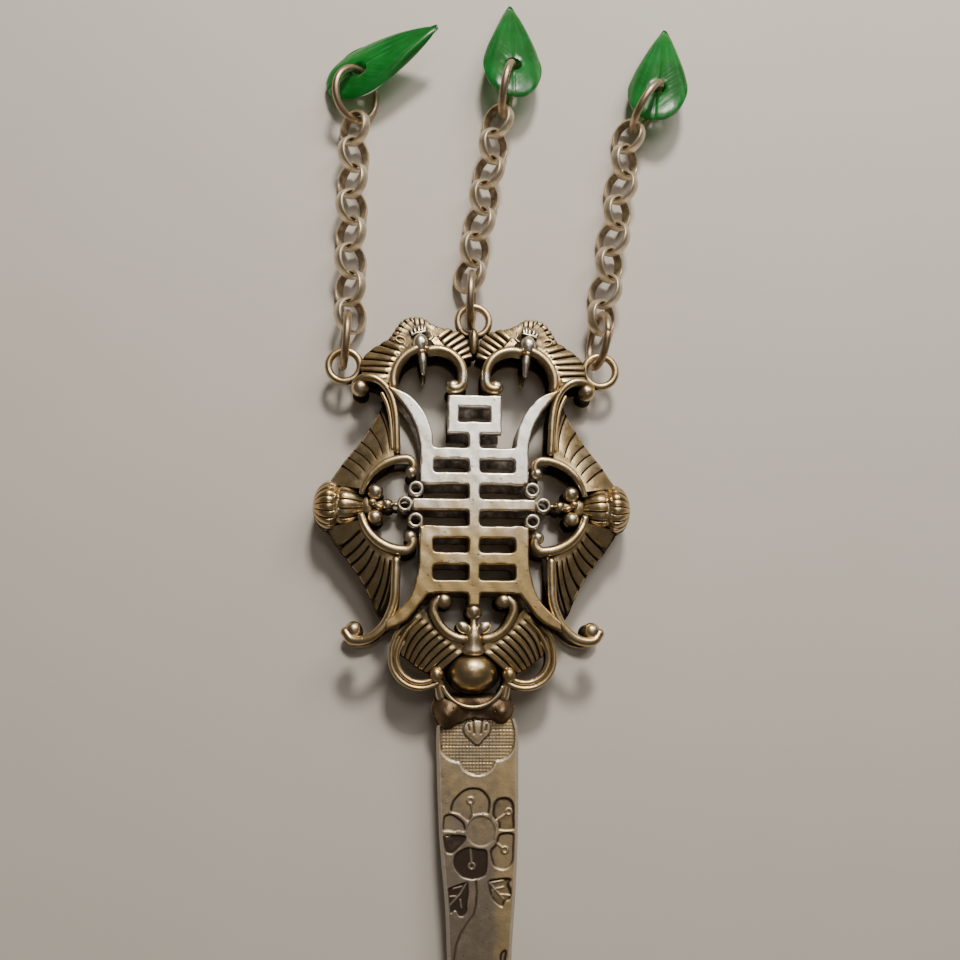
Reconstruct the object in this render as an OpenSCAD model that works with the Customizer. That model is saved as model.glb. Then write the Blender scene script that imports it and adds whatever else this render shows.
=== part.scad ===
// Hair stick lying on its back, with a double-sided openwork head and three chains.
// X to the right, Y from the blade's point to the leaves, Z up. The origin is on the
// back of the head, under the middle of the lattice.

/* [Head] */
// Thickness of the head from its back face to its front face
head_t = 8; // [7.8:0.1:8.4]
// Thickness of the flat lattice on each face
plate_t = 1.6; // [1.2:0.1:1.8]
// Thickness of the wings
wing_t = 1.3; // [1.1:0.1:1.5]
// Depth of the grooves between the wings' ribs
groove_t = 0.45; // [0.3:0.05:0.6]
// Width of the grooves between the wings' ribs
groove_w = 0.3; // [0.2:0.05:0.4]

/* [Lattice] */
// Width of the upright in the middle
spine_w = 1.57; // [1.2:0.01:1.8]
// Width of the lattice's frame, outside to outside
frame_w = 15.3; // [15:0.1:15.6]
// Width of the frame's side bars
frame_bar_w = 1.95; // [1.6:0.05:2.1]
// Height of each cross bar
bar_h = 1.64; // [1.3:0.01:1.8]
// Outer diameter of the six small rings
ring_d = 2.26; // [2.1:0.02:2.4]
// Hole of the six small rings
ring_hole_d = 1.2; // [0.9:0.05:1.3]

/* [Loops] */
// Distance of the side loops from the middle
side_loop_x = 18.85; // [18.6:0.05:19.1]
// Height of the side loops along the head
side_loop_y = 20.9; // [20.7:0.05:21.1]
// Place of the top loop along the head
top_loop_y = 28.15; // [28:0.05:28.3]
// Radius of the loops at the middle of the wire
loop_r = 2.32; // [2.2:0.02:2.4]
// Wire of the loops
loop_wire = 1.1; // [1:0.05:1.2]

/* [Blade] */
// Thickness of the blade
blade_t = 1.4; // [1.2:0.1:1.6]
// Width of the blade where it leaves the head
blade_w = 11.4; // [10.8:0.1:11.8]
// Width of the blade just above its point
blade_tip_w = 2.8; // [2.4:0.1:3.4]
// Distance of the blade's point below the middle of the head
blade_tip_y = 136; // [126:1:145]
// Width of the bevel along the blade's edges
bevel_w = 0.45; // [0.3:0.05:0.6]
// Height of the stamped ornament
stamp_h = 0.15; // [0.1:0.01:0.2]

/* [Chains] */
// Outer diameter of a chain link
link_d = 5.7; // [5.6:0.05:5.8]
// Thickness of a link's wire
link_t = 0.5; // [0.4:0.02:0.52]
// Width of a link's wire
link_w = 1.4; // [1.3:0.05:1.55]
// Outer diameter of the jump rings and drop rings
jump_d = 9; // [8.9:0.05:9.1]
// Wire of the jump rings and drop rings
jump_wire = 1.15; // [1:0.05:1.2]

/* [Leaves] */
// Length of a leaf bead
leaf_l = 20; // [19:0.1:20.4]
// Width of a leaf bead
leaf_w = 9.3; // [9:0.1:9.6]
// Thickness of a leaf bead in its middle
leaf_t = 2.4; // [2.2:0.1:2.6]
// Hole of a leaf bead
leaf_hole_d = 2.6; // [2.5:0.05:2.8]

/* [Hidden] */
$fn = 48;
mid_z = head_t / 2;
face_z = head_t - plate_t;
tube_z = 7.25;

// Middle of each cross bar along Y, and half its length
BAR_Y = 0; BAR_HALF = 1;
bars = [
    [7.3, frame_w / 2],
    [3.7, frame_w / 2],
    [-0.05, 8.65],
    [-3.93, frame_w / 2],
    [-7.64, frame_w / 2],
    [-11.55, frame_w / 2]
];

// Chain: name, heading of its first link, turn per link, first link's middle, count, first lean
CHAIN_NAME = 0; CHAIN_HEAD = 1; CHAIN_TURN = 2; CHAIN_AT = 3; CHAIN_N = 4; CHAIN_TILT = 5;
link_pitch = 4.34;
link_lean = 45;
chains = [
    ["left", 91.5, -0.4, [-18.25, 29.15], 8, link_lean],
    ["centre", 80.5, 0, [-0.45, 35.95], 7, -link_lean],
    ["right", 80.7, 0, [19.5, 29.85], 8, link_lean]
];

chain_node_names = [for (c = chains) for (k = [1 : c[CHAIN_N]]) str(c[CHAIN_NAME], "_link_", k)];

silver = [0.72, 0.69, 0.60];
antique = [0.55, 0.47, 0.33];
leaf_green = [0.08, 0.5, 0.18];

// Smooth curve through a list of points, with the given number of steps to each stretch
function spline_at(a, b, c, d, t) =
    0.5 * (2 * b + (c - a) * t + (2 * a - 5 * b + 4 * c - d) * t * t
    + (3 * b - a - 3 * c + d) * t * t * t);
function curve(p, steps) = [
    for (i = [0 : len(p) - 2])
        for (s = [0 : steps - 1])
            spline_at(p[max(i - 1, 0)], p[i], p[i + 1], p[min(i + 2, len(p) - 1)], s / steps),
    p[len(p) - 1]
];
function reversed(p) = [for (i = [len(p) - 1 : -1 : 0]) p[i]];

module both_sides() {
    children();
    mirror([1, 0, 0]) children();
}

module front_and_back() {
    children();
    translate([0, 0, head_t]) mirror([0, 0, 1]) children();
}

// Round tube along an arc that lies flat, from angle a0 to a1
module tube_arc(at, r, a0, a1, wire, z = tube_z) {
    translate([at.x, at.y, z]) rotate([0, 0, a0])
        rotate_extrude(angle = a1 - a0) translate([r, 0]) circle(d = wire);
}

module ball(at, d, z = tube_z, turn = 0) {
    translate([at.x, at.y, z]) rotate([0, 0, turn]) sphere(d = d);
}

// Straight tube that lies flat between two points
module rod(a, b, wire, z = tube_z) {
    v = b - a;
    translate([a.x, a.y, z]) rotate([0, 0, atan2(v.y, v.x)]) rotate([0, 90, 0])
        cylinder(d = wire, h = norm(v));
}

// Layer of the wings' thickness whose top passes through a point and falls towards az
module slope(at, az, fall, t = wing_t) {
    translate(at) rotate([0, 0, az]) rotate([0, fall, 0]) translate([-30, -30, -t])
        cube([60, 60, t]);
}

// Grooves on a sloping wing, each along a line from one plan point to the other
module grooves(lines, at, az, fall) {
    for (g = lines) {
        v = g[1] - g[0];
        intersection() {
            slope(at + [0, 0, 0.5], az, fall, 0.5 + groove_t);
            translate([g[0].x, g[0].y, 0]) rotate([0, 0, atan2(v.y, v.x)])
                translate([0, -groove_w / 2, 0]) cube([norm(v), groove_w, head_t + 2]);
        }
    }
}

module wing(outline, lines, at, az, fall) {
    difference() {
        intersection() {
            linear_extrude(head_t) polygon(outline);
            slope(at, az, fall);
        }
        grooves(lines, at, az, fall);
    }
}

// Lattice

// Inner and outer edges of the arms and the legs, which start inside the frame's side bars
arm_inner = [[5.9, 7.6], [5.98, 9.8], [6.4, 11.7], [7.4, 13.7], [8.9, 15.3], [10.6, 16.3], [12.3, 16.9]];
arm_outer = [[7.5, 6.9], [7.8, 9.0], [8.45, 11.2], [9.5, 13.3], [10.9, 15.1], [12.3, 16.6]];
leg_inner = [[5.9, -11.6], [6.5, -12.8], [7.6, -14.2], [9.4, -16.3], [12.2, -17.6]];
leg_outer = [[7.5, -7.9], [7.85, -9.8], [8.8, -12.9], [10.6, -15.0], [12.2, -16.4]];

module lattice_outline() {
    translate([-spine_w / 2, -14]) square([spine_w, 24.5]);
    difference() {
        translate([-3.85, 10.25]) square([7.7, 5.55]);
        translate([-2.25, 11.9]) square([4.5, 2.2]);
    }
    for (b = bars)
        translate([-b[BAR_HALF], b[BAR_Y] - bar_h / 2]) square([2 * b[BAR_HALF], bar_h]);
    both_sides() {
        translate([frame_w / 2 - frame_bar_w, 2.95]) square([frame_bar_w, 5.1]);
        translate([frame_w / 2 - frame_bar_w, -12.3]) square([frame_bar_w, 9.1]);
        polygon(concat(curve(arm_inner, 3), reversed(curve(arm_outer, 3))));
        polygon(concat(curve(leg_inner, 3), reversed(curve(leg_outer, 3))));
    }
}

module lattice() {
    translate([0, 0, face_z]) linear_extrude(plate_t) lattice_outline();
}

// Rings between the lattice and a side bat
small_rings = [[8.2, 2.15], [9.72, -0.05], [8.2, -2.35]];

module small_rings() {
    for (c = small_rings)
        translate([c.x, c.y, face_z - 0.3]) difference() {
            cylinder(d = ring_d, h = plate_t + 0.2);
            translate([0, 0, -1]) cylinder(d = ring_hole_d, h = plate_t + 3);
        }
}

// Side bat

side_wing_rim = [[20.9, 2.6], [19.4, 5.0], [18.0, 7.0], [16.3, 9.6], [14.6, 12.6], [13.6, 14.6], [13.0, 16.6]];
side_wing_inner = [[15.3, 2.4], [14.6, 4.4], [13.1, 6.2], [11.2, 7.2], [10.8, 8.2], [11.1, 12.7],
    [11.6, 14.8], [12.3, 16.4]];
side_wing_at = [16.3, 9.6, 4.9];
side_wing_az = 33;
side_wing_fall = 27;
side_grooves = [
    [[12.1, 7.4], [13.7, 14.6]],
    [[12.9, 6.9], [14.9, 12.3]],
    [[13.7, 6.2], [16.3, 10.2]],
    [[14.4, 5.4], [17.6, 8.4]],
    [[15.2, 4.4], [18.7, 6.7]],
    [[15.8, 3.4], [19.8, 5.0]]
];

module side_wing() {
    wing(concat(curve(side_wing_rim, 2), reversed(curve(side_wing_inner, 2))), side_grooves,
        side_wing_at, side_wing_az, side_wing_fall);
}

// Rolled finger of a side bat's wing: upper one thin, lower one thick
module upper_finger() {
    rod([11.0, 7.7], [11.15, 12.2], 0.95);
    tube_arc([20.2, 11.95], 9.05, 147, 179, 0.95);
    ball([12.65, 16.85], 1.1);
    tube_arc([14.6, 15.75], 2.25, 45, 150, 1.0);
    ball([16.4, 17.0], 2.1, 6.2);
    ball([11.1, 12.1], 1.06);
}

module lower_finger() {
    rod([10.85, -7.9], [10.95, -13.4], 1.25);
    ball([10.95, -13.4], 1.36);
    tube_arc([15.15, -13.5], 4.2, 181, 220, 1.25);
    tube_arc([15.15, -15.2], 3.55, 200, 300, 1.25, 6.9);
    ball([16.5, -17.5], 2.1, 6.2);
    ball([12.0, -16.3], 1.4, 7.1);
}

module rolled_tip(d) {
    tube_arc([9.6, 0.2], 6.35, 15, 90, 1.0);
    tube_arc([9.7, 5.5], 1.06, 88, 230, 0.9);
    ball([9.65, 6.55], 1.1);
    ball([8.95, 4.6], d);
}

// Outline of the plate under a side bat's eyes and nose
side_face = [[11.8, -0.4], [12.9, -1.0], [13.2, -2.3], [14.8, -2.7], [16.4, -1.8], [16.4, 1.8], [14.8, 2.7],
    [13.2, 2.3], [12.9, 1.0], [11.8, 0.4]];

module side_bat_front() {
    side_wing();
    mirror([0, 1, 0]) side_wing();
    upper_finger();
    lower_finger();
    rolled_tip(1.5);
    mirror([0, 1, 0]) rolled_tip(1.7);
    for (y = [-1.85, 1.85]) ball([13.9, y], 2.2, 6.4);
    ball([12.2, 0], 1.5, 6.6);
    translate([10.5, -0.3, 6.5]) cube([1.6, 0.6, 0.75]);
    translate([0, 0, 4.9]) linear_extrude(1.4) polygon(side_face);
}

// Distance along X and radius of a side bat's round body, neck to tail
body_profile = [[15.2, 1.5], [15.9, 2.3], [17.0, 2.95], [18.2, 3.1], [19.3, 2.85], [19.9, 3.15], [20.9, 3.3],
    [21.9, 2.85], [22.5, 1.9], [22.78, 0.8]];

// Grooves round the body, between two places along X
module body_grooves(x0, x1, r, count) {
    for (k = [0 : count - 1])
        rotate([(k + 0.5) * 360 / count, 0, 0]) translate([x0, -groove_w / 2, r - groove_t])
            cube([x1 - x0, groove_w, 2]);
}

module side_bat_body() {
    translate([0, 0, mid_z]) difference() {
        rotate([0, 90, 0]) rotate_extrude()
            polygon(concat([[0, 15.2]], [for (p = body_profile) [p[1], p[0]]], [[0, 22.78]]));
        body_grooves(15.9, 19.0, 3.0, 10);
        body_grooves(19.9, 22.4, 3.1, 14);
    }
}

// Top bat

top_out_rim = [[16.3, 18.3], [16.7, 20.2], [16.5, 21.9], [15.6, 23.1], [14.2, 24.2], [12.5, 25.2], [11.4, 26.3]];
top_out_inner = [[12.0, 16.9], [11.6, 19.0], [10.8, 21.0], [9.6, 22.4], [8.6, 23.3]];
top_out_at = [14.3, 24.1, 4.9];
top_out_az = 50;
top_out_fall = 24;
top_out_grooves = [
    [[10.2, 23.4], [12.6, 24.6]],
    [[10.9, 22.7], [14.2, 23.7]],
    [[11.4, 21.8], [15.4, 22.7]],
    [[11.8, 20.9], [16.2, 21.5]],
    [[12.1, 20.0], [16.3, 20.3]],
    [[12.4, 19.1], [16.3, 19.4]]
];

crown_rim = [[12.0, 25.6], [11.3, 26.9], [9.9, 28.0], [8.2, 28.4], [6.6, 28.1], [5.3, 27.3], [4.6, 26.7]];
crown_at = [8.2, 28.4, 5.2];
crown_fall = 22;
crown_foot = [8.0, 22.6];

top_in_rim = [[-0.15, 25.9], [1.2, 26.3], [3.0, 26.9], [4.9, 27.2], [6.6, 26.2]];
top_in_inner = [[-0.15, 20.6], [2.1, 20.7], [3.0, 21.8], [4.2, 22.5], [5.5, 22.75], [6.6, 22.9]];
top_in_at = [1.5, 26.6, 5.2];
top_in_az = 115;
top_in_fall = 17;
top_in_grooves = [
    [[5.1, 24.3], [3.1, 26.3]],
    [[4.4, 23.6], [2.0, 25.8]],
    [[3.7, 23.0], [1.2, 25.1]],
    [[3.0, 22.3], [0.6, 24.1]],
    [[2.3, 21.7], [0.4, 23.0]]
];

module top_bat_front() {
    wing(concat(curve(top_out_rim, 2), reversed(curve(top_out_inner, 2))), top_out_grooves,
        top_out_at, top_out_az, top_out_fall);
    wing(concat(curve(crown_rim, 2), [[5.6, 23.6], [10.6, 23.0]]),
        [for (a = [30 : 24 : 150])
            [crown_foot + 2.2 * [cos(a), sin(a)], crown_foot + 5 * [cos(a), sin(a)]]],
        crown_at, 90, crown_fall);
    wing(concat(curve(top_in_rim, 2), reversed(curve(top_in_inner, 2))), top_in_grooves,
        top_in_at, top_in_az, top_in_fall);
    tube_arc([5.5, 18.9], 3.85, 72, 192, 1.25);
    ball([1.75, 18.1], 1.36);
    tube_arc([2.9, 17.9], 1.15, 172, 275, 1.15);
    ball([3.1, 16.8], 2.1, 6.9);
    tube_arc([6.6, 18.0], 5.05, -12, 70, 1.1);
    ball([7.75, 23.5], 2.3, 7.0);
    ball([7.7, 22.4], 1.8, 6.9);
    translate([7.6, 22.2, 6.9]) rotate([95, 0, -8]) cylinder(r1 = 0.62, r2 = 0.2, h = 3.4);
}

// Bottom bat

ear_at = [1.35, -17.2];
bottom_wing_outline = [[1.3, -19.3], [3.2, -18.0], [5.2, -16.6], [6.2, -14.9], [7.6, -14.6], [9.6, -17.0],
    [11.2, -18.9], [10.7, -20.5], [9.6, -21.4], [8.2, -22.4], [6.4, -23.5], [3.4, -23.9], [1.3, -22.3]];
bottom_wing_at = [11, -18.5, 5.0];
bottom_wing_az = -35;
bottom_wing_fall = 15;
bottom_loop_at = [7.2, -21.2];
hook_z = 6.9;

module bottom_bat_side() {
    wing(bottom_wing_outline,
        [for (k = [0 : 6]) [[2.7 + 0.8 * k, -20.0 + 0.68 * k], [6.2 + 0.68 * k, -23.2 + 0.47 * k]]],
        bottom_wing_at, bottom_wing_az, bottom_wing_fall);
    // Doubled wire round the wing's lower end, on a band that reaches the back half
    translate([bottom_loop_at.x, bottom_loop_at.y, 3.8]) rotate([0, 0, -125])
        rotate_extrude(angle = 175) translate([3.1, 0]) square([1.35, 2.0]);
    for (r = [3.4, 4.15])
        tube_arc(bottom_loop_at, r, -124, 49, 0.72, 5.8);
    ball([5.0, -23.6], 1.9, 5.9);
    translate([5.0, -23.6, 3.8]) cylinder(d = 1.6, h = 2.2);
    // Hook above the head
    tube_arc([3.9, -14.75], 1.7, -30, 70, 1.1, hook_z);
    ball([5.35, -15.6], 1.2, hook_z);
    tube_arc([0.9, -14.1], 4.62, -74, -19, 1.15, hook_z);
    ball([4.1, -13.4], 2.4, 6.75, 217);
    ball(ear_at, 1.3, 7.1);
    ball([1.0, -17.55], 1.0, 7.05);
}

// Outline of the plate under the bottom bat's bead, ears and head
bottom_face = [[-0.6, -14.6], [0.6, -14.6], [0.7, -16.4], [1.7, -17.4], [1.4, -19.9], [-1.4, -19.9], [-1.7, -17.4],
    [-0.7, -16.4]];

module bottom_bat_middle() {
    translate([0, 0, 5.2]) linear_extrude(1.6) polygon(bottom_face);
    ball([0, -14.9], 2.3, 6.8);
    ball([0, -19.5], 3.2, 6.35);
    ball([0, -18.1], 2.2, 6.85);
    ball([0, -23.2], 5.8, 5.05);
    tube_arc([0, -23.5], 4.4, 205, 335, 0.7, 5.7);
    translate([0, -23.2, mid_z]) cylinder(r = 3.2, h = 1.9);
}

// Loops for the chains

module loops() {
    both_sides() tube_arc([side_loop_x, side_loop_y], loop_r, 0, 360, loop_wire, mid_z);
    tube_arc([0, top_loop_y], loop_r, 0, 360, loop_wire, mid_z);
}

// Blade: left and right edges at the head and at the point, joined by straight tapers
blade_top_y = -30.2;
blade_mid_y = -59.4;
blade_mid_w = 8.64;
blade_top_x = 0.72;
blade_mid_x = 1.06;
blade_tip_x = 2.05;
blade_z = mid_z - blade_t / 2;
blade_shoulder_y = blade_tip_y - blade_tip_w / 2;

function blade_edge(side) = [
    [blade_top_x + side * (blade_w / 2 - 0.5), blade_top_y + 0.9],
    [blade_top_x + side * blade_w / 2, blade_top_y - 0.6],
    [blade_mid_x + side * blade_mid_w / 2, blade_mid_y],
    [blade_tip_x + side * blade_tip_w / 2, -blade_shoulder_y]
];

module bevel(a, b) {
    v = b - a;
    for (face = [0, 1])
        translate([a.x, a.y, mid_z]) mirror([0, 0, face]) rotate([0, 0, atan2(v.y, v.x)])
            translate([-1, -bevel_w, blade_t / 2]) rotate([-50, 0, 0])
                cube([norm(v) + 2, 3, 3]);
}

module blade_plate() {
    difference() {
        union() {
            translate([0, 0, blade_z]) linear_extrude(blade_t)
                polygon(concat(blade_edge(-1), reversed(blade_edge(1))));
            translate([blade_tip_x, -blade_shoulder_y, blade_z])
                cylinder(d = blade_tip_w - 0.02, h = blade_t);
        }
        for (k = [1, 2]) {
            bevel(blade_edge(-1)[k + 1], blade_edge(-1)[k]);
            bevel(blade_edge(1)[k], blade_edge(1)[k + 1]);
        }
    }
}

// Stamped flower: middle of the bloom and its petals' distance and size
bloom_at = [1.25, -44.4];
petal_r = 2.15;
petal_at = 3.8;
petal_turn = 38;
stamp_line = 0.4;

module stamped_ring(at, r) {
    translate(at) difference() {
        circle(r);
        circle(r - stamp_line);
    }
}

module stamp_lines() {
    for (k = [0 : 4])
        stamped_ring(bloom_at + petal_at * [cos(72 * k + petal_turn), sin(72 * k + petal_turn)], petal_r);
    stamped_ring(bloom_at, 1.5);
    for (x = [-3.0, 1.0, 5.0])
        intersection() {
            stamped_ring([x * 0.95, -33.6 - (x == 1.0 ? 1.4 : 0)], 2.35);
            translate([x * 0.95 - 2, -38]) square([4, 4]);
        }
}

module blade() {
    blade_plate();
    translate([0, 0, mid_z + blade_t / 2 - 0.2]) linear_extrude(0.2 + stamp_h)
        intersection() {
            stamp_lines();
            translate([blade_top_x - 4.6, -60]) square([9.6, 30]);
        }
}

// Solder between the head and the blade
module solder_joint() {
    translate([0, 0, 2.4]) linear_extrude(3.0)
        polygon([[-5.2, -24.6], [5.2, -24.6], [5.5, -28.5], [4.4, -29.9], [0.6, -30.3], [-1.6, -31.2],
            [-4.4, -30.9], [-5.5, -28.4]]);
    translate([-3.5, -28.6, 4.3]) sphere(r = 2.15);
    translate([4.2, -28.8, 4.7]) sphere(r = 1.45);
    translate([0.4, -28.9, 4.2]) sphere(r = 1.7);
}

module head_half() {
    lattice();
    both_sides() {
        small_rings();
        side_bat_front();
        top_bat_front();
        bottom_bat_side();
    }
    bottom_bat_middle();
}

module head_and_blade() {
    color(antique) {
        front_and_back() head_half();
        both_sides() side_bat_body();
        loops();
        solder_joint();
    }
    color(silver) blade();
}

// Chain links, laid along a gentle arc with every other link tilted the other way

link_z = (link_d / 2 + link_w / 2) * sin(link_lean) + 0.03;

function heading(c, k) = c[CHAIN_HEAD] + c[CHAIN_TURN] * k;
function link_at(c, k) = k == 0 ? c[CHAIN_AT]
    : link_at(c, k - 1) + link_pitch * [cos(heading(c, k - 0.5)), sin(heading(c, k - 0.5))];

module ring_link() {
    rotate_extrude() translate([link_d / 2 - link_t, -link_w / 2]) square([link_t, link_w]);
}

module chain_link(c, k) {
    at = link_at(c, k);
    tilt = (k % 2 == 0 ? 1 : -1) * c[CHAIN_TILT];
    color(silver) translate([at.x, at.y, link_z]) rotate([0, 0, heading(c, k)]) rotate([tilt, 0, 0])
        ring_link();
}

// Rings that join the head's loops, the chains and the leaves: middle, heading, lean
RING_AT = 0; RING_HEAD = 1; RING_LEAN = 2;
jump_r = (jump_d - jump_wire) / 2;
jump_rings = [
    [[-18.8, 24.7], 87.5, 6],
    [[-0.3, 31.4], 88, -6],
    [[18.65, 25.5], 84.5, 10]
];

module wire_ring(ring) {
    z = jump_r * cos(ring[RING_LEAN]) + jump_wire / 2 + 0.03;
    color(silver) translate([ring[RING_AT].x, ring[RING_AT].y, z]) rotate([0, 0, ring[RING_HEAD]])
        rotate([90 + ring[RING_LEAN], 0, 0])
            rotate_extrude() translate([jump_r, 0]) circle(d = jump_wire);
}

drop_rings = [
    [[-18.25, 64.8], 77.5, -47],
    [[5.15, 66.0], 77.5, -8],
    [[27.0, 64.0], 55.5, -8]
];

// Leaf beads: middle of the hole, heading, fall towards the tip, roll about its length
LEAF_HOLE = 0; LEAF_HEAD = 1; LEAF_FALL = 2; LEAF_ROLL = 3;
leaves = [
    [[-17.5, 68.6, 3.35], 27, -16, -18],
    [[6.0, 69.8, 4.2], 90, 16, 5],
    [[28.9, 66.9, 3.95], 79.5, 15, -14]
];

// Half outline of a leaf lying along X, from its base to its tip, in shares of its length and width
leaf_side = [[-0.3, 0.02], [-0.28, 0.2], [-0.17, 0.4], [0, 0.5], [0.19, 0.43], [0.41, 0.26], [0.61, 0.11],
    [0.7, 0.02]];
leaf_dome_r = 13;
leaf_arch_r = 60;
leaf_arch_x = 3;

module leaf_outline() {
    half = [for (p = curve(leaf_side, 3)) [p.x * leaf_l, p.y * leaf_w]];
    polygon(concat(half, [for (p = reversed(half)) [p.x, -p.y]]));
}

// Round bar along the leaf, and one across it, whose top or underside is one face of the leaf
module leaf_dome(side) {
    translate([-15, 0, side * (leaf_t / 2 - leaf_dome_r)]) rotate([0, 90, 0])
        cylinder(r = leaf_dome_r, h = 40, $fn = 120);
}

module leaf_arch(side) {
    translate([leaf_arch_x, 15, side * (leaf_t / 2 - leaf_arch_r)]) rotate([90, 0, 0])
        cylinder(r = leaf_arch_r, h = 30, $fn = 240);
}

module leaf(l) {
    color(leaf_green) translate(l[LEAF_HOLE]) rotate([0, 0, l[LEAF_HEAD]])
        rotate([0, l[LEAF_FALL], 0]) rotate([l[LEAF_ROLL], 0, 0])
            difference() {
                intersection() {
                    translate([0, 0, -leaf_t]) linear_extrude(2 * leaf_t) leaf_outline();
                    leaf_dome(1);
                    leaf_dome(-1);
                    leaf_arch(1);
                    leaf_arch(-1);
                }
                translate([0, 0, -leaf_t]) cylinder(d = leaf_hole_d, h = 2 * leaf_t);
            }
}

head_and_blade();
for (c = chains)
    for (k = [0 : c[CHAIN_N] - 1])
        chain_link(c, k);
for (i = [0 : len(chains) - 1]) {
    wire_ring(jump_rings[i]);
    wire_ring(drop_rings[i]);
    leaf(leaves[i]);
}
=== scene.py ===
"""Looks of a hair stick: cast openwork head, stamped blade, three chains and glass leaves.

Lengths are in millimetres until a mesh is made. X runs to the right, Y from the blade's
point to the leaves, Z up, and the origin lies on the back face of the head, under the
middle of the lattice.
"""

import logging
import math
from dataclasses import dataclass
from enum import Enum

import bpy
import numpy as np
from mathutils import Matrix

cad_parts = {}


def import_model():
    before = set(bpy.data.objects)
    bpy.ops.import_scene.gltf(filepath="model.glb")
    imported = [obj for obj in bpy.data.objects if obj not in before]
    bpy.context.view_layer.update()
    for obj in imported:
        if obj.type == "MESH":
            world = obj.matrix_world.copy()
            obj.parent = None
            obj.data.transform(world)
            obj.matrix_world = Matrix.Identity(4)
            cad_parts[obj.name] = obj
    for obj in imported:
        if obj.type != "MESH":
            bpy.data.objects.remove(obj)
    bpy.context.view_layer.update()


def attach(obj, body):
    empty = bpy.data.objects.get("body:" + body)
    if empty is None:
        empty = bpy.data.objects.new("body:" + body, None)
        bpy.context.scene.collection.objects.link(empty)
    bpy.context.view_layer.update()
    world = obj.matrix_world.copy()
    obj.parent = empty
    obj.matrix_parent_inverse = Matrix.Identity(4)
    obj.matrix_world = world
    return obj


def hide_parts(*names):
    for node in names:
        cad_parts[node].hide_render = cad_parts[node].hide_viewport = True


log = logging.getLogger("hair_stick")

Array = np.ndarray
MM = 0.001
HEAD_T = 8.0
MID_Z = HEAD_T / 2
TUBE_Z = 7.25
FLOOR_GAP = 0.03
X_AXIS, Y_AXIS, Z_AXIS = 0, 1, 2


# Surfaces


@dataclass
class Surface:
    """Closed skin of four-sided and three-sided faces.

    cut holds a value per point: 1 at the bottom of a cut line or in patina and painted shade,
    0 on open metal, and -1 on a rim that is rubbed bright or carries a painted highlight. On a
    glass leaf it holds the strength of the pale streaks.
    """

    points: Array
    quads: Array
    tris: Array
    cut: Array

    def outward(self) -> "Surface":
        """Turns the faces outwards.

        The sum of a . (b x c) over the triangles is six times the volume, and positive
        when the faces point outwards.

        Returns:
            The surface, with its faces turned if they pointed inwards.
        """
        halves = np.concatenate([self.quads[:, :3], self.quads[:, [0, 2, 3]], self.tris])
        a, b, c = (self.points[halves[:, k]] for k in range(3))
        if np.einsum("ij,ij->", a, np.cross(b, c)) >= 0:
            return self
        return Surface(self.points, self.quads[:, ::-1], self.tris[:, ::-1], self.cut)

    def mirrored(self, axis: int, about: float = 0.0) -> "Surface":
        """Reflects the surface in the plane where an axis has one value.

        Args:
            axis: 0, 1 or 2 for X, Y or Z.
            about: the value.

        Returns:
            The reflection, with its faces turned outwards.
        """
        points = self.points.copy()
        points[:, axis] = 2 * about - points[:, axis]
        return Surface(points, self.quads[:, ::-1], self.tris[:, ::-1], self.cut)

    def rubbed(self, amount: float) -> "Surface":
        """The surface with all its points rubbed bright."""
        return Surface(self.points, self.quads, self.tris, np.full(len(self.points), -amount))

    def moved(self, turn: Array, shift: Array) -> "Surface":
        """Turns the surface by a 3 x 3 matrix and then shifts it."""
        return Surface(self.points @ np.asarray(turn).T + shift, self.quads, self.tris, self.cut)


def joined(parts: list[Surface]) -> Surface:
    """Puts several surfaces in one, without joining their points.

    Args:
        parts: the surfaces.

    Returns:
        One surface that holds them all.
    """
    starts = np.cumsum([0] + [len(p.points) for p in parts[:-1]])
    return Surface(
        np.concatenate([p.points for p in parts]),
        np.concatenate([p.quads + s for p, s in zip(parts, starts)]),
        np.concatenate([p.tris + s for p, s in zip(parts, starts)]),
        np.concatenate([p.cut for p in parts]),
    )


def both_sides(parts: list[Surface]) -> list[Surface]:
    """The parts and their reflections in the plane X = 0."""
    return parts + [p.mirrored(X_AXIS) for p in parts]


def front_and_back(parts: list[Surface]) -> list[Surface]:
    """The parts and their reflections in the middle plane of the head."""
    return parts + [p.mirrored(Z_AXIS, MID_Z) for p in parts]


def grid_quads(rows: int, cols: int, round_rows: bool = False, round_cols: bool = False) -> Array:
    """Faces of a grid of points stored row by row.

    Args:
        rows: number of rows.
        cols: number of points in a row.
        round_rows: joins the last row to the first.
        round_cols: joins the last point of each row to its first.

    Returns:
        Four point numbers per face.
    """
    i, j = np.meshgrid(
        np.arange(rows if round_rows else rows - 1),
        np.arange(cols if round_cols else cols - 1),
        indexing="ij",
    )
    down, right = (i + 1) % rows, (j + 1) % cols
    corners = [i * cols + j, i * cols + right, down * cols + right, down * cols + j]
    return np.stack(corners, -1).reshape(-1, 4)


NO_TRIS = np.zeros((0, 3), int)


def unit(vectors: Array) -> Array:
    """Scales each vector to length 1."""
    return vectors / np.maximum(np.linalg.norm(vectors, axis=-1, keepdims=True), 1e-9)


def smooth(low: float, high: float, value: Array) -> Array:
    """Rises from 0 at low to 1 at high as 3t^2 - 2t^3."""
    t = np.clip((value - low) / (high - low), 0, 1)
    return t * t * (3 - 2 * t)


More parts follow.
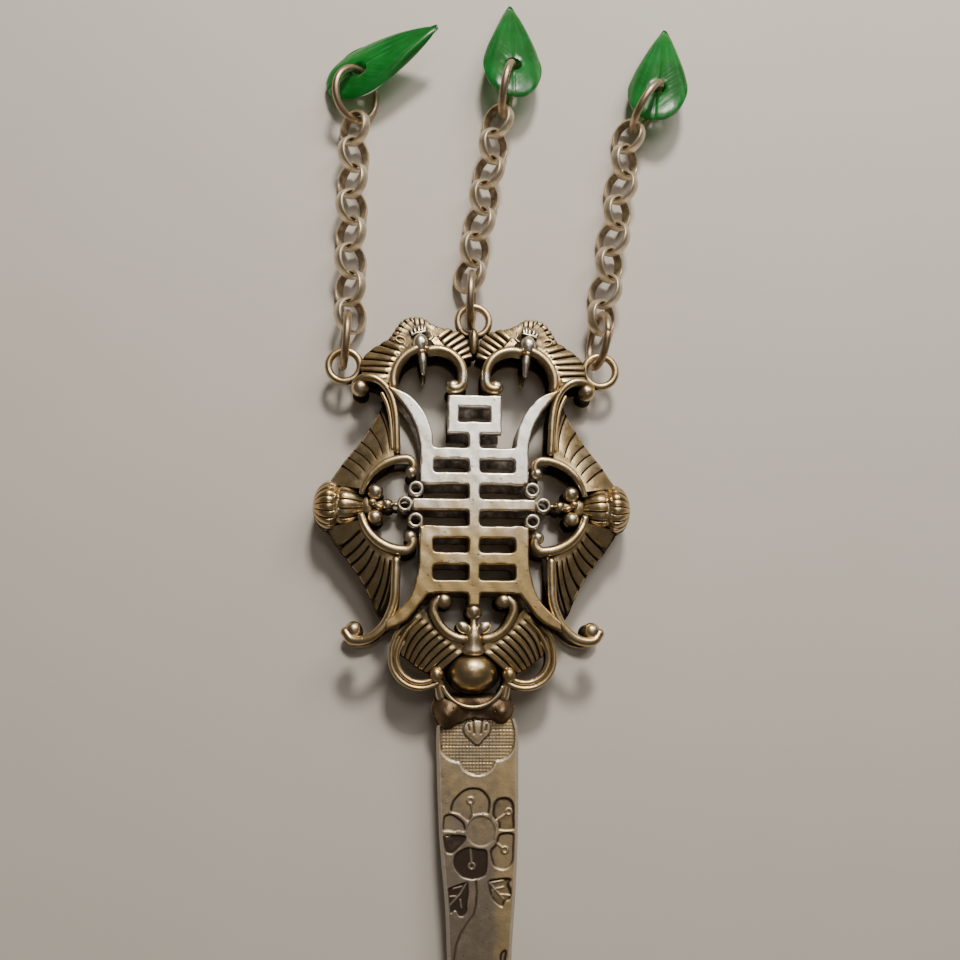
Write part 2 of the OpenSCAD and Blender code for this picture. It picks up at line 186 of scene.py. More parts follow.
def spline_at(knots: Array, at: Array) -> Array:
    """Smooth curve through points, where a whole number k gives point k.

    Between two points b and c, with a before and d after them, the curve is the cubic
    that leaves b along (c - a) / 2 and reaches c along (d - b) / 2.

    Args:
        knots: the points, one per row.
        at: places along the curve, from 0 to the last point's number.

    Returns:
        One point per place.
    """
    knots = np.asarray(knots, float)
    k = np.clip(np.floor(at).astype(int), 0, len(knots) - 2)
    t = (np.asarray(at, float) - k)[..., None]
    last = len(knots) - 1
    a, b, c, d = (knots[np.clip(k + n, 0, last)] for n in (-1, 0, 1, 2))
    return 0.5 * (
        2 * b + (c - a) * t + (2 * a - 5 * b + 4 * c - d) * t**2 + (3 * b - a - 3 * c + d) * t**3
    )


def spline(knots: list, count: int) -> Array:
    """Smooth curve through points, in count steps of equal parameter."""
    return spline_at(knots, np.linspace(0, len(knots) - 1, count))


def closed_spline(knots: list, count: int) -> Array:
    """Smooth closed curve through points."""
    looped = [*knots[-2:], *knots, *knots[:2]]
    return spline_at(looped, np.linspace(2, len(knots) + 2, count, endpoint=False))


def arc(centre: tuple, radius: float, start: float, end: float, z: float, count: int = 40) -> Array:
    """Points centre + radius (cos a, sin a) at one height.

    Args:
        centre: the middle of the circle.
        radius: its radius.
        start: the first angle a, in degrees.
        end: the last one.
        z: the height.
        count: number of points.

    Returns:
        One point per row.
    """
    a = np.radians(np.linspace(start, end, count))
    flat = np.asarray(centre, float) + radius * np.stack([np.cos(a), np.sin(a)], 1)
    return np.concatenate([flat, np.full((count, 1), z)], 1)


def tube(path: Array, radius: Array | float, around: int = 20, rise: float = 1.0) -> Surface:
    """Round rod along a path, with a dome at each end.

    A point is path + radius (cos t across + rise sin t upwards) for a turn t. The domes
    carry on past the ends with the radius r cos b at the distance r sin b.

    Args:
        path: points of the middle line.
        radius: one radius, or one per point.
        around: number of points in a ring.
        rise: height of the rod's section in shares of its width.

    Returns:
        The rod's skin.
    """
    path = np.asarray(path, float)
    radius = np.broadcast_to(np.asarray(radius, float), len(path))
    along = unit(np.gradient(path, axis=0))
    across = unit(np.cross(along, [0.0, 0.0, 1.0]))
    upwards = np.cross(across, along)
    bend = np.radians([68, 46, 23])
    ahead, width = np.sin(bend)[:, None], np.cos(bend)
    centres = np.concatenate(
        [
            path[0] - along[0] * radius[0] * ahead,
            path,
            path[-1] + along[-1] * radius[-1] * ahead[::-1],
        ]
    )
    radii = np.concatenate([radius[0] * width, radius, radius[-1] * width[::-1]])
    first, last = np.zeros(len(bend), int), np.full(len(bend), len(path) - 1)
    pick = np.concatenate([first, np.arange(len(path)), last])
    t = np.linspace(0, 2 * np.pi, around, endpoint=False)
    ring = np.cos(t)[:, None] * across[pick, None] + rise * np.sin(t)[:, None] * upwards[pick, None]
    points = (centres[:, None] + radii[:, None, None] * ring).reshape(-1, 3)
    tips = [path[0] - along[0] * radius[0], path[-1] + along[-1] * radius[-1]]
    return capped(points, len(centres), around, tips)


def capped(points: Array, rows: int, around: int, tips: list[Array]) -> Surface:
    """Closes a grid of rings with a fan of triangles to a point at each end.

    Args:
        points: the rings' points, ring by ring.
        rows: number of rings.
        around: number of points in a ring.
        tips: the two end points.

    Returns:
        The closed skin.
    """
    k = np.arange(around)
    after, base, first = (k + 1) % around, (rows - 1) * around, rows * around
    fans = np.concatenate(
        [
            np.stack([after, k, np.full(around, first)], 1),
            np.stack([base + k, base + after, np.full(around, first + 1)], 1),
        ]
    )
    points = np.concatenate([points, np.asarray(tips)])
    quads = grid_quads(rows, around, round_cols=True)
    return Surface(points, quads, fans, np.zeros(len(points))).outward()


def ball(at: tuple, radii: tuple, rows: int = 14, around: int = 24, turn: float = 0.0) -> Surface:
    """Egg with three half-axes: at + (rx sin d cos t, ry sin d sin t, rz cos d).

    Args:
        at: the middle.
        radii: the half-axes along X, Y and Z.
        rows: number of steps from pole to pole.
        around: number of points in a ring.
        turn: turn about the upright line through the middle, in degrees.

    Returns:
        The egg's skin.
    """
    d = np.linspace(0, np.pi, rows + 1)[1:-1, None]
    t = np.linspace(0, 2 * np.pi, around, endpoint=False)[None]
    unit_points = np.stack(
        [np.sin(d) * np.cos(t), np.sin(d) * np.sin(t), np.cos(d) + 0 * t], -1
    ).reshape(-1, 3)
    a = math.radians(turn)
    spin = np.array([[math.cos(a), -math.sin(a), 0], [math.sin(a), math.cos(a), 0], [0, 0, 1]])

    def placed(p: Array) -> Array:
        """Point p of the unit ball, stretched, turned and shifted."""
        return (np.asarray(p) * radii) @ spin.T + np.asarray(at, float)

    poles = [placed([0, 0, 1.0]), placed([0, 0, -1.0])]
    return capped(placed(unit_points), rows - 1, around, poles)


def slab(top: Array, bottom: Array, cut: Array | None = None, under: float = 0.0) -> Surface:
    """Closed plate between two grids of points of the same size.

    Args:
        top: rows x columns x 3 points of the upper face.
        bottom: the same for the lower face.
        cut: rows x columns values for the upper face, or None.
        under: the value for the lower face.

    Returns:
        The plate, with walls between the two grids' rims.
    """
    rows, cols = top.shape[:2]
    n = rows * cols
    number = np.arange(n).reshape(rows, cols)
    rim = np.concatenate([number[0, :-1], number[:-1, -1], number[-1, :0:-1], number[:0:-1, 0]])
    after = np.roll(rim, -1)
    faces = grid_quads(rows, cols)
    walls = np.stack([rim, rim + n, after + n, after], 1)
    quads = np.concatenate([faces, faces[:, ::-1] + n, walls])
    upper = np.zeros(n) if cut is None else cut.reshape(-1)
    points = np.concatenate([top.reshape(-1, 3), bottom.reshape(-1, 3)])
    return Surface(points, quads, NO_TRIS, np.concatenate([upper, np.full(n, under)])).outward()


def band(section: Array, centre: tuple, around: int = 40) -> Surface:
    """Ring whose section runs round an upright axis: (r cos t, r sin t, h) for a turn t.

    Args:
        section: distance r from the axis and height h of each point of the section.
        centre: where the axis stands.
        around: number of sections.

    Returns:
        The ring.
    """
    section = np.asarray(section, float)
    t = np.linspace(0, 2 * np.pi, around, endpoint=False)[:, None]
    r, h = section[None, :, 0], section[None, :, 1]
    points = np.stack([r * np.cos(t), r * np.sin(t), h + 0 * t], -1).reshape(-1, 3)
    points += np.array([centre[0], centre[1], 0.0])
    quads = grid_quads(around, len(section), True, True)
    return Surface(points, quads, NO_TRIS, np.zeros(len(points))).outward()


# Lattice


def box_distance(x: Array, y: Array, low: tuple, high: tuple) -> Array:
    """Distance to the edge of a rectangle, below 0 inside it.

    Args:
        x: places along X.
        y: places along Y.
        low: the rectangle's lowest corner.
        high: its highest corner.

    Returns:
        The distance of each place.
    """
    dx = np.maximum(low[0] - x, x - high[0])
    dy = np.maximum(low[1] - y, y - high[1])
    outside = np.hypot(np.maximum(dx, 0), np.maximum(dy, 0))
    return outside + np.minimum(np.maximum(dx, dy), 0)


def shape_distance(x: Array, y: Array, corners: Array) -> Array:
    """Distance to the edge of a closed outline, below 0 inside it.

    The distance is the least one to any side. A point is inside when a line from it
    towards +X crosses the outline an odd number of times.

    Args:
        x: places along X.
        y: places along Y.
        corners: the outline's corners in order.

    Returns:
        The distance of each place.
    """
    a, b = corners, np.roll(corners, -1, 0)
    side = b - a
    px, py = x[..., None] - a[:, 0], y[..., None] - a[:, 1]
    share = np.clip((px * side[:, 0] + py * side[:, 1]) / (side**2).sum(1), 0, 1)
    near = np.hypot(px - share * side[:, 0], py - share * side[:, 1]).min(-1)
    spans = (a[:, 1] > y[..., None]) != (b[:, 1] > y[..., None])
    rise = np.where(side[:, 1] == 0, 1e-9, side[:, 1])
    crossed = spans & (px < side[:, 0] * (y[..., None] - a[:, 1]) / rise)
    return np.where(crossed.sum(-1) % 2 == 1, -near, near)


def segment_distance(x: Array, y: Array, a: tuple, b: tuple) -> Array:
    """Distance to the straight line between two points.

    Args:
        x: places along X.
        y: places along Y.
        a: the line's beginning.
        b: its end.

    Returns:
        The distance of each place.
    """
    side = np.subtract(b, a)
    share = np.clip(((x - a[0]) * side[0] + (y - a[1]) * side[1]) / (side @ side), 0, 1)
    return np.hypot(x - a[0] - share * side[0], y - a[1] - share * side[1])


def thread(distance: Array, width: float) -> Array:
    """Bell curve e^(-(distance / width)^2) across a line."""
    return np.exp(-((distance / width) ** 2))


def blended(a: Array, b: Array, fillet: float) -> Array:
    """The lesser of two distances, with a rounded corner where they are alike."""
    h = np.clip(0.5 + 0.5 * (b - a) / fillet, 0, 1)
    return b + (a - b) * h - fillet * h * (1 - h)


@dataclass
class Lattice:
    """Flat sawn lattice on each face of the head, and the small rings at its sides.

    Each bar is given by its upper and its lower edge. sunk is how far the lattice's face
    lies under the head's front plane, and below the patina and painted shade of its lower face.
    """

    thickness: float = 1.6
    edge: float = 0.15
    step: float = 0.14
    reach_x: float = 12.46
    reach_y: tuple = (-18.2, 17.4)
    sunk: float = 0.042
    below: float = 0.72
    fillet: float = 0.62
    spine: float = 0.785
    bars: tuple = (
        (8.1, 6.5), (4.54, 2.87), (0.76, -0.85), (-3.1, -4.75), (-6.8, -8.48), (-10.66, -12.43),
    )
    wide_bar: int = 2
    arm_inner: tuple = (
        (5.9, 7.4), (5.96, 9.7), (6.5, 11.8), (7.6, 13.8), (9.1, 15.5), (10.67, 16.35), (12.3, 16.9),
    )
    arm_outer: tuple = ((7.6, 6.9), (7.81, 8.8), (8.42, 11.15), (9.46, 13.2), (10.75, 14.9), (12.3, 16.6))
    leg_inner: tuple = ((6.0, -11.4), (6.5, -12.7), (7.6, -14.2), (9.4, -16.3), (12.1, -17.6))
    leg_outer: tuple = ((7.6, -7.9), (7.9, -9.8), (8.8, -12.9), (10.6, -15.0), (12.2, -16.4))
    rings: tuple = ((8.2, 2.15), (9.72, -0.05), (8.2, -2.35))
    ring_r: tuple = (0.6, 1.13)
    ring_z: tuple = (6.1, 7.92)

    def distance(self, x: Array, y: Array) -> Array:
        """Distance to the lattice's outline in plan, below 0 on the metal.

        It is the blended least of the distances to the spine, the bars, the square, the
        frame and the curved arms and legs, with a little waviness as on sawn edges.

        Args:
            x: places along X.
            y: places along Y.

        Returns:
            The distance of each place.
        """
        ax = np.abs(x)
        d = box_distance(ax, y, (-1, -14.2), (self.spine, 11.5))
        hole = box_distance(ax, y, (-3, 11.9), (2.25, 14.1))
        square = np.maximum(box_distance(ax, y, (-5, 10.25), (3.85, 15.8)), -(hole + 0.12) + 0.12)
        d = blended(d, square, self.fillet)
        frame = np.minimum(
            box_distance(ax, y, (5.72, 2.95), (7.65, 8.0)),
            box_distance(ax, y, (5.70, -12.35), (7.65, -3.2)),
        )
        for inner, outer in ((self.arm_inner, self.arm_outer), (self.leg_inner, self.leg_outer)):
            corners = np.concatenate([spline(inner, 19), spline(outer, 17)[::-1]])
            frame = np.minimum(frame, shape_distance(ax, y, corners))
        d = blended(d, frame, 0.05)
        for k, (high, low) in enumerate(self.bars):
            reach = 8.65 if k == self.wide_bar else 6.9
            d = blended(d, box_distance(ax, y, (-1, low), (reach, high)), self.fillet)
        wave = np.sin(1.9 * x + 0.7 * y) * np.sin(1.3 * y - 0.6 * x + 1) + np.sin(3.1 * y + 2.3 * x)
        return d + 0.018 * wave

    def build(self) -> list[Surface]:
        """Front lattice plate and rings.

        The plate is a square grid. Cells off the metal are left out. The points at the rim
        slide along the slope of the distance until they lie on the outline, and the next
        row until it lies the edge radius r inside. The top falls by r - sqrt(r^2 - e^2),
        where e grows from 0 to r between the two rows.

        Returns:
            The plate, and one small ring per place.
        """
        x = np.arange(-self.reach_x, self.reach_x + 0.01, self.step)
        y = np.arange(*self.reach_y, self.step)
        gx, gy = np.meshgrid(x, y, indexing="ij")
        rows, cols = gx.shape
        middle = self.distance(gx[:-1, :-1] + self.step / 2, gy[:-1, :-1] + self.step / 2)
        metal = middle < 0
        quads = grid_quads(rows, cols)[metal.reshape(-1)]
        uses = np.bincount(quads.reshape(-1), minlength=rows * cols).reshape(rows, cols)
        rim = (uses > 0) & (uses < 4)
        shifts = [(a, b) for a in (-1, 0, 1) for b in (-1, 0, 1)]
        beside = np.logical_or.reduce([np.roll(rim, k, (0, 1)) for k in shifts])
        near = beside & (uses > 0)
        target = np.where(rim, 0.0, -self.edge)[near]
        px, py = gx.copy(), gy.copy()
        h, most = 0.02, 0.1
        for _ in range(5):
            d = self.distance(px[near], py[near]) - target
            sx = (self.distance(px[near] + h, py[near]) - target - d) / h
            sy = (self.distance(px[near], py[near] + h) - target - d) / h
            size = np.maximum(sx**2 + sy**2, 0.3)
            px[near] -= np.clip(d * sx / size, -most, most)
            py[near] -= np.clip(d * sy / size, -most, most)
        d = np.where(rim, 0.0, self.distance(px, py))
        e = self.edge * np.clip(1 + d / self.edge, 0, 1)
        drop = self.edge - np.sqrt(np.maximum(self.edge**2 - e**2, 0))
        dent = 0.02 * np.sin(0.9 * px + 0.4) * np.sin(0.7 * py) + 0.012 * np.sin(2.3 * px + 1.7 * py)
        top = HEAD_T - self.sunk - drop + dent
        used = np.unique(quads)
        number = np.full(rows * cols, -1)
        number[used] = np.arange(len(used))
        q = number[quads]
        flat = np.stack([px.reshape(-1)[used], py.reshape(-1)[used]], 1)
        upper = np.concatenate([flat, top.reshape(-1)[used, None]], 1)
        lower = np.concatenate([flat, np.full((len(used), 1), HEAD_T - self.thickness)], 1)
        edges = np.concatenate([q[:, [0, 1]], q[:, [1, 2]], q[:, [2, 3]], q[:, [3, 0]]])
        code = edges[:, 0] * len(used) + edges[:, 1]
        back = edges[:, 1] * len(used) + edges[:, 0]
        open_edges = edges[~np.isin(back, code)]
        a, b = open_edges[:, 0], open_edges[:, 1]
        n = len(used)
        walls = np.stack([b, a, a + n, b + n], 1)
        points = np.concatenate([upper, lower])
        # The lower face looks into the head and gets patina and painted shade.
        shade = np.concatenate([np.zeros(n), np.full(n, self.below)])
        plate = Surface(points, np.concatenate([q, q[:, ::-1] + n, walls]), NO_TRIS, shade).outward()
        return [plate] + [s for c in self.rings for s in both_sides([self.ring(c)])]

    def ring(self, centre: tuple) -> Surface:
        """Small upright ring with rounded rims, rubbed bright at its top, with patina and painted shade
        at its foot.

        Args:
            centre: where it stands.

        Returns:
            The ring.
        """
        (hole, out), (low, high) = self.ring_r, self.ring_z
        section = [
            (hole, low), (out, low), (out, high - 0.3), (out - 0.07, high - 0.1),
            (out - 0.2, high), (hole + 0.16, high), (hole + 0.04, high - 0.1), (hole, high - 0.3),
        ]
        made = band(section, centre, 36)
        # Patina and painted shade at the foot, where the ring meets the plate; wear at its top.
        made.cut = 1.9 * smooth(7.8, 6.6, made.points[:, 2]) - 0.9
        return made


# Ribbed wings


@dataclass(frozen=True)
class Fan:
    """Ribbed wing between an inner and an outer edge, with cut lines between its ribs.

    Each knot of start and outer is one cut line's beginning and end; the first and last
    knots are the wing's own sides. plane is a point of the top, the direction that it
    falls towards and the fall, both in degrees. cuts weighs the lines, border keeps them
    off the inner edge, and dull is the least shade.
    """

    start: tuple
    outer: tuple
    plane: tuple
    inset: float = 0.6
    line: float = 0.1
    depth: float = 0.4
    crown: float = 0.1
    scallop: float = 0.1
    thickness: float = 1.3
    arch: float = 0.15
    ceiling: float = 7.1
    border: float = 0.02
    dull: float = 0.0
    curl: tuple = (0.0, 0.0)
    cuts: tuple = ()
    rows: int = 16

    def height(self, x: Array, y: Array) -> Array:
        """Height of the top: a plane that falls by tan(fall) per mm, bent level under the ceiling.

        Args:
            x: places along X.
            y: places along Y.

        Returns:
            The height of each place.
        """
        at, az, fall = self.plane
        a = math.radians(az)
        run = (x - at[0]) * math.cos(a) + (y - at[1]) * math.sin(a)
        z = at[2] - math.tan(math.radians(fall)) * run
        return -0.2 * np.logaddexp(-z / 0.2, -self.ceiling / 0.2)

    def build(self) -> Surface:
        """The wing as a function of u along the edge and w from the inner edge outwards.

        A point is start(u) + w (outer(u) - start(u)), bent sideways by curl sin(pi w) and
        raised by arch sin(pi w). Below w = 0 it goes on inwards by inset. Within a rib, s
        runs from 0 to 1: the top gains crown (1 - (2s - 1)^2) and the outer edge bulges by
        scallop (1 - (2s - 1)^2).
        Near a cut line it falls by depth (1 - distance / line)^0.8 times the line's own
        weight.

        Returns:
            The closed wing.
        """
        ribs = len(self.start) - 1
        line = self.line
        rise = np.array([0, 0.5 * line, line, line + 0.1, 0.32])
        in_rib = np.concatenate([rise, [0.5, 0.68, 0.9 - line, 1 - line, 1 - 0.5 * line]])
        u = np.concatenate([(np.arange(ribs)[:, None] + in_rib).reshape(-1), [ribs]])
        start, outer = spline_at(self.start, u), spline_at(self.outer, u)
        s = u - np.floor(u)
        bow = 1 - (2 * s - 1) ** 2
        weights = np.array(self.cuts or (0.0, *[1.0] * (ribs - 1), 0.0))
        weight = weights[np.round(u).astype(int)]
        ditch = weight * np.clip(1 - np.minimum(s, 1 - s) / line, 0, 1) ** 0.8
        away = unit(outer - start)
        outer = outer + away * (self.scallop * bow)[:, None]
        w = np.concatenate([[-1, -0.5], np.linspace(0, 1, self.rows), [1.0]])
        w_in = np.minimum(w, 0)[:, None, None]
        w_out = np.maximum(w, 0)[:, None, None]
        plan = start + w_in * self.inset * away + w_out * (outer - start)
        plan[-2] -= away * 0.12
        sideways = np.interp(u, [0, ribs], self.curl)[:, None] * np.stack([-away[:, 1], away[:, 0]], 1)
        plan = plan + np.sin(np.pi * np.clip(w, 0, 1))[:, None, None] * sideways
        run = w_out[..., 0] * np.linalg.norm(outer - start, axis=1)
        inside = smooth(self.border, self.border + 0.26, run)
        x, y = plan[..., 0], plan[..., 1]
        z = self.height(x, y) + self.arch * np.sin(np.pi * np.clip(w, 0, 1))[:, None]
        z = z + inside * (self.crown * bow * np.abs(weight) ** 0.5 - self.depth * ditch)
        z[-1] -= 0.18
        floor = np.minimum(self.height(x, y), z - 0.2) - self.thickness
        # Cut lines get patina and painted shade; the outer rim rows get painted shade.
        shade = inside * ditch
        shade[-1], shade[-2] = 0.95, np.maximum(shade[-2], 0.3)
        shade = np.maximum(shade, self.dull)
        # The lower face and the walls' feet get patina and painted shade, which keeps the outer walls
        # from showing the floor's reflection.
        return slab(np.stack([x, y, z], -1), np.stack([x, y, floor], -1), shade, 0.85)


@dataclass(frozen=True)
class Crown(Fan):
    """Forehead of a top bat: a ribbed rim on a low dome, plane giving the dome's top."""

    bend: float = 0.068

    def height(self, x: Array, y: Array) -> Array:
        """Height of the dome: falls by bend times the square of the distance from its top."""
        at = self.plane[0]
        return at[2] - self.bend * ((x - at[0]) ** 2 + (y - at[1]) ** 2)


# Bats


@dataclass
class SideBat:
    """Bat at the head's right side: two ribbed wings, rolled fingers, eyes and a ribbed body."""

    upper: Fan = Fan(
        start=(
            (11.45, 7.6), (12.0, 7.35), (12.85, 6.75), (13.65, 6.15), (14.4, 5.4), (15.12, 4.36),
            (15.89, 3.25), (16.6, 2.3),
        ),
        outer=(
            (12.75, 16.1), (13.55, 13.9), (14.95, 11.3), (16.15, 9.35), (17.13, 8.08), (17.93, 7.05),
            (18.8, 5.85), (20.7, 2.9),
        ),
        plane=((16.3, 9.6, 4.9), 33, 27),
        line=0.09, depth=0.35, crown=0.05, scallop=0.06, inset=0.9, border=0.35, curl=(0.4, 0.1),
    )
    lower: Fan = Fan(
        start=(
            (10.35, -7.8), (11.65, -7.85), (12.38, -7.65), (13.0, -7.25), (13.9, -6.5), (14.57, -5.85),
            (15.15, -4.85), (15.79, -3.65), (16.5, -2.4),
        ),
        outer=(
            (12.3, -16.6), (13.4, -15.2), (14.1, -13.6), (15.1, -11.5), (16.1, -9.8), (17.15, -8.4),
            (17.87, -7.35), (18.9, -6.15), (20.9, -3.1),
        ),
        plane=((16.3, -9.6, 4.9), -33, 27),
        line=0.17, depth=0.5, crown=0.08, scallop=0.08, inset=0.9, curl=(-0.45, -0.1),
    )
    stations: tuple = (
        (14.5, 0.8), (14.85, 1.2), (15.3, 1.6), (15.85, 2.1), (16.5, 2.62), (17.2, 3.02), (17.9, 3.24),
        (18.5, 3.24), (18.95, 3.12), (19.25, 3.16), (19.6, 3.4), (20.1, 3.64), (20.6, 3.66), (21.1, 3.46),
        (21.6, 3.1), (22.0, 2.64), (22.4, 1.98), (22.62, 1.35), (22.73, 0.7),
    )

    def body(self) -> Surface:
        """Round body about a line along X, from its neck to its tail.

        The radius falls at each of n lines round the turn t, where |sin(n t / 2)| is
        small, and bulges between them. There are more lines on the tail than on the
        front, and a row of knobs between the two.

        Returns:
            The body's skin.
        """
        knots = np.array(self.stations)
        fine = spline_at(knots, np.linspace(0, len(knots) - 1, 72))
        x, r = fine[:, 0], fine[:, 1]
        t = np.linspace(0, 2 * np.pi, 240, endpoint=False)

        def groove(n: int) -> Array:
            """Values that are 1 on each of n lines round the body and 0 between them."""
            return np.clip(1 - np.abs(np.sin(n * t / 2)) / 0.4, 0, 1)

        front = smooth(14.6, 15.5, x) * (1 - smooth(18.75, 19.1, x))
        tail = smooth(19.5, 19.8, x) * (1 - smooth(22.1, 22.6, x))
        bead = thread(x - 19.35, 0.25)
        knob = np.abs(np.sin(3.5 * t + 0.5)) ** 6
        cut = front[:, None] * groove(14) + 0.85 * tail[:, None] * groove(20)
        crown = (front[:, None] * np.abs(np.sin(7 * t)) + tail[:, None] * np.abs(np.sin(10 * t))) * 0.12
        r = r[:, None] - 0.36 * cut + crown - 0.08 + bead[:, None] * (0.34 * knob - 0.08)
        points = np.stack([x[:, None] + 0 * t, r * np.cos(t), r * np.sin(t)], -1).reshape(-1, 3)
        points[:, 2] += MID_Z
        tips = [np.array([14.45, 0, MID_Z]), np.array([22.78, 0, MID_Z])]
        skin = capped(points, len(x), len(t), tips)
        # The grooves get patina and painted shade.
        skin.cut[: cut.size] = cut.reshape(-1)
        return skin

    def volute(self, sign: float, end: float, start_r: float, mid_r: float) -> list[Surface]:
        """Rolled finger round the eyes: a long arc that curls in to a small ball.

        Args:
            sign: 1 for the one above the eyes, -1 for the one below.
            end: radius of the ball.
            start_r: radius of the rod where it leaves the body.
            mid_r: radius of the rod in its middle.

        Returns:
            The rod and its ball.
        """
        a = arc((9.6, 0.2), 6.35, 14, 84, TUBE_Z, 26)[:, :2]
        b = arc((9.7, 5.45), 1.1, 78, 225, TUBE_Z, 12)[:, :2]
        flat = np.concatenate([a, b])
        flat[:, 1] *= sign
        path = np.concatenate([flat, np.full((len(flat), 1), TUBE_Z)], 1)
        share = np.linspace(0, 1, len(path))
        path[:, 2] -= 0.35 * (1 - smooth(0, 0.25, share))
        radius = start_r + (mid_r - start_r) * smooth(0, 0.5, share) - 0.06 * smooth(0.8, 1, share)
        return [
            tube(path, radius),
            ball((8.95, 4.6 * sign, TUBE_Z - 0.1), (end, end, 0.92 * end)).rubbed(0.5),
        ]

    def build(self) -> list[Surface]:
        """Front half of the bat, without its body.

        Returns:
            The wings, the bars along them, the balls, the eyes and the rolled fingers.
        """
        z = TUBE_Z
        upper_bar = [
            (10.93, 7.75, z), (11.05, 10.2, z + 0.1), (11.2, 12.6, z + 0.1), (11.6, 14.7, z),
            (12.3, 16.4, z), (13.3, 17.6, z), (14.6, 18.3, z - 0.1), (16.0, 18.3, z - 0.45),
            (17.0, 17.6, z - 0.9),
        ]
        ridge = [
            (11.62, 8.0, z + 0.12), (11.78, 10.5, z), (12.05, 12.8, z - 0.1), (12.5, 14.6, z - 0.3),
            (13.2, 16.1, z - 0.5),
        ]
        lower_bar = [
            (10.82, -8.0, z), (10.86, -11.0, z + 0.05), (10.97, -13.4, z), (11.6, -15.5, z),
            (12.5, -17.1, z), (13.9, -18.4, z - 0.1), (15.4, -18.95, z - 0.25),
            (16.8, -18.8, z - 0.5), (17.6, -17.8, z - 0.8),
        ]
        share = np.linspace(0, 1, 60)
        parts = [
            self.upper.build(),
            self.lower.build(),
            tube(spline(upper_bar, 60), 0.5 + 0.12 * smooth(0.5, 0.9, share)),
            tube(spline(ridge, 30), np.linspace(0.2, 0.3, 30), 12),
            tube(spline(lower_bar, 60), 0.64 + 0.04 * share),
            ball((16.4, 17.0, 6.2), (1.26, 1.26, 1.2)).rubbed(0.35),
            ball((16.5, -17.5, 6.2), (1.22, 1.22, 1.15)).rubbed(0.35),
            ball((13.9, 1.85, 6.35), (1.14, 1.15, 1.1)).rubbed(0.45),
            ball((13.9, -1.85, 6.35), (1.14, 1.15, 1.1)).rubbed(0.45),
            ball((12.15, 0.0, 6.6), (0.8, 0.8, 0.8)).rubbed(0.45),
            ball((14.3, 0.35, 6.6), (0.6, 0.5, 0.45)),
            ball((13.35, -0.3, 6.5), (0.7, 0.45, 0.4), turn=25),
            ball((11.0, -0.05, 6.9), (0.55, 0.32, 0.35)),
            ball((14.9, 0.0, 5.2), (1.3, 1.6, 0.9)),
            ball((12.9, 0.0, 5.9), (1.6, 0.75, 0.6)),
        ]
        return parts + self.volute(1, 0.86, 0.4, 0.58) + self.volute(-1, 0.92, 0.55, 0.72)


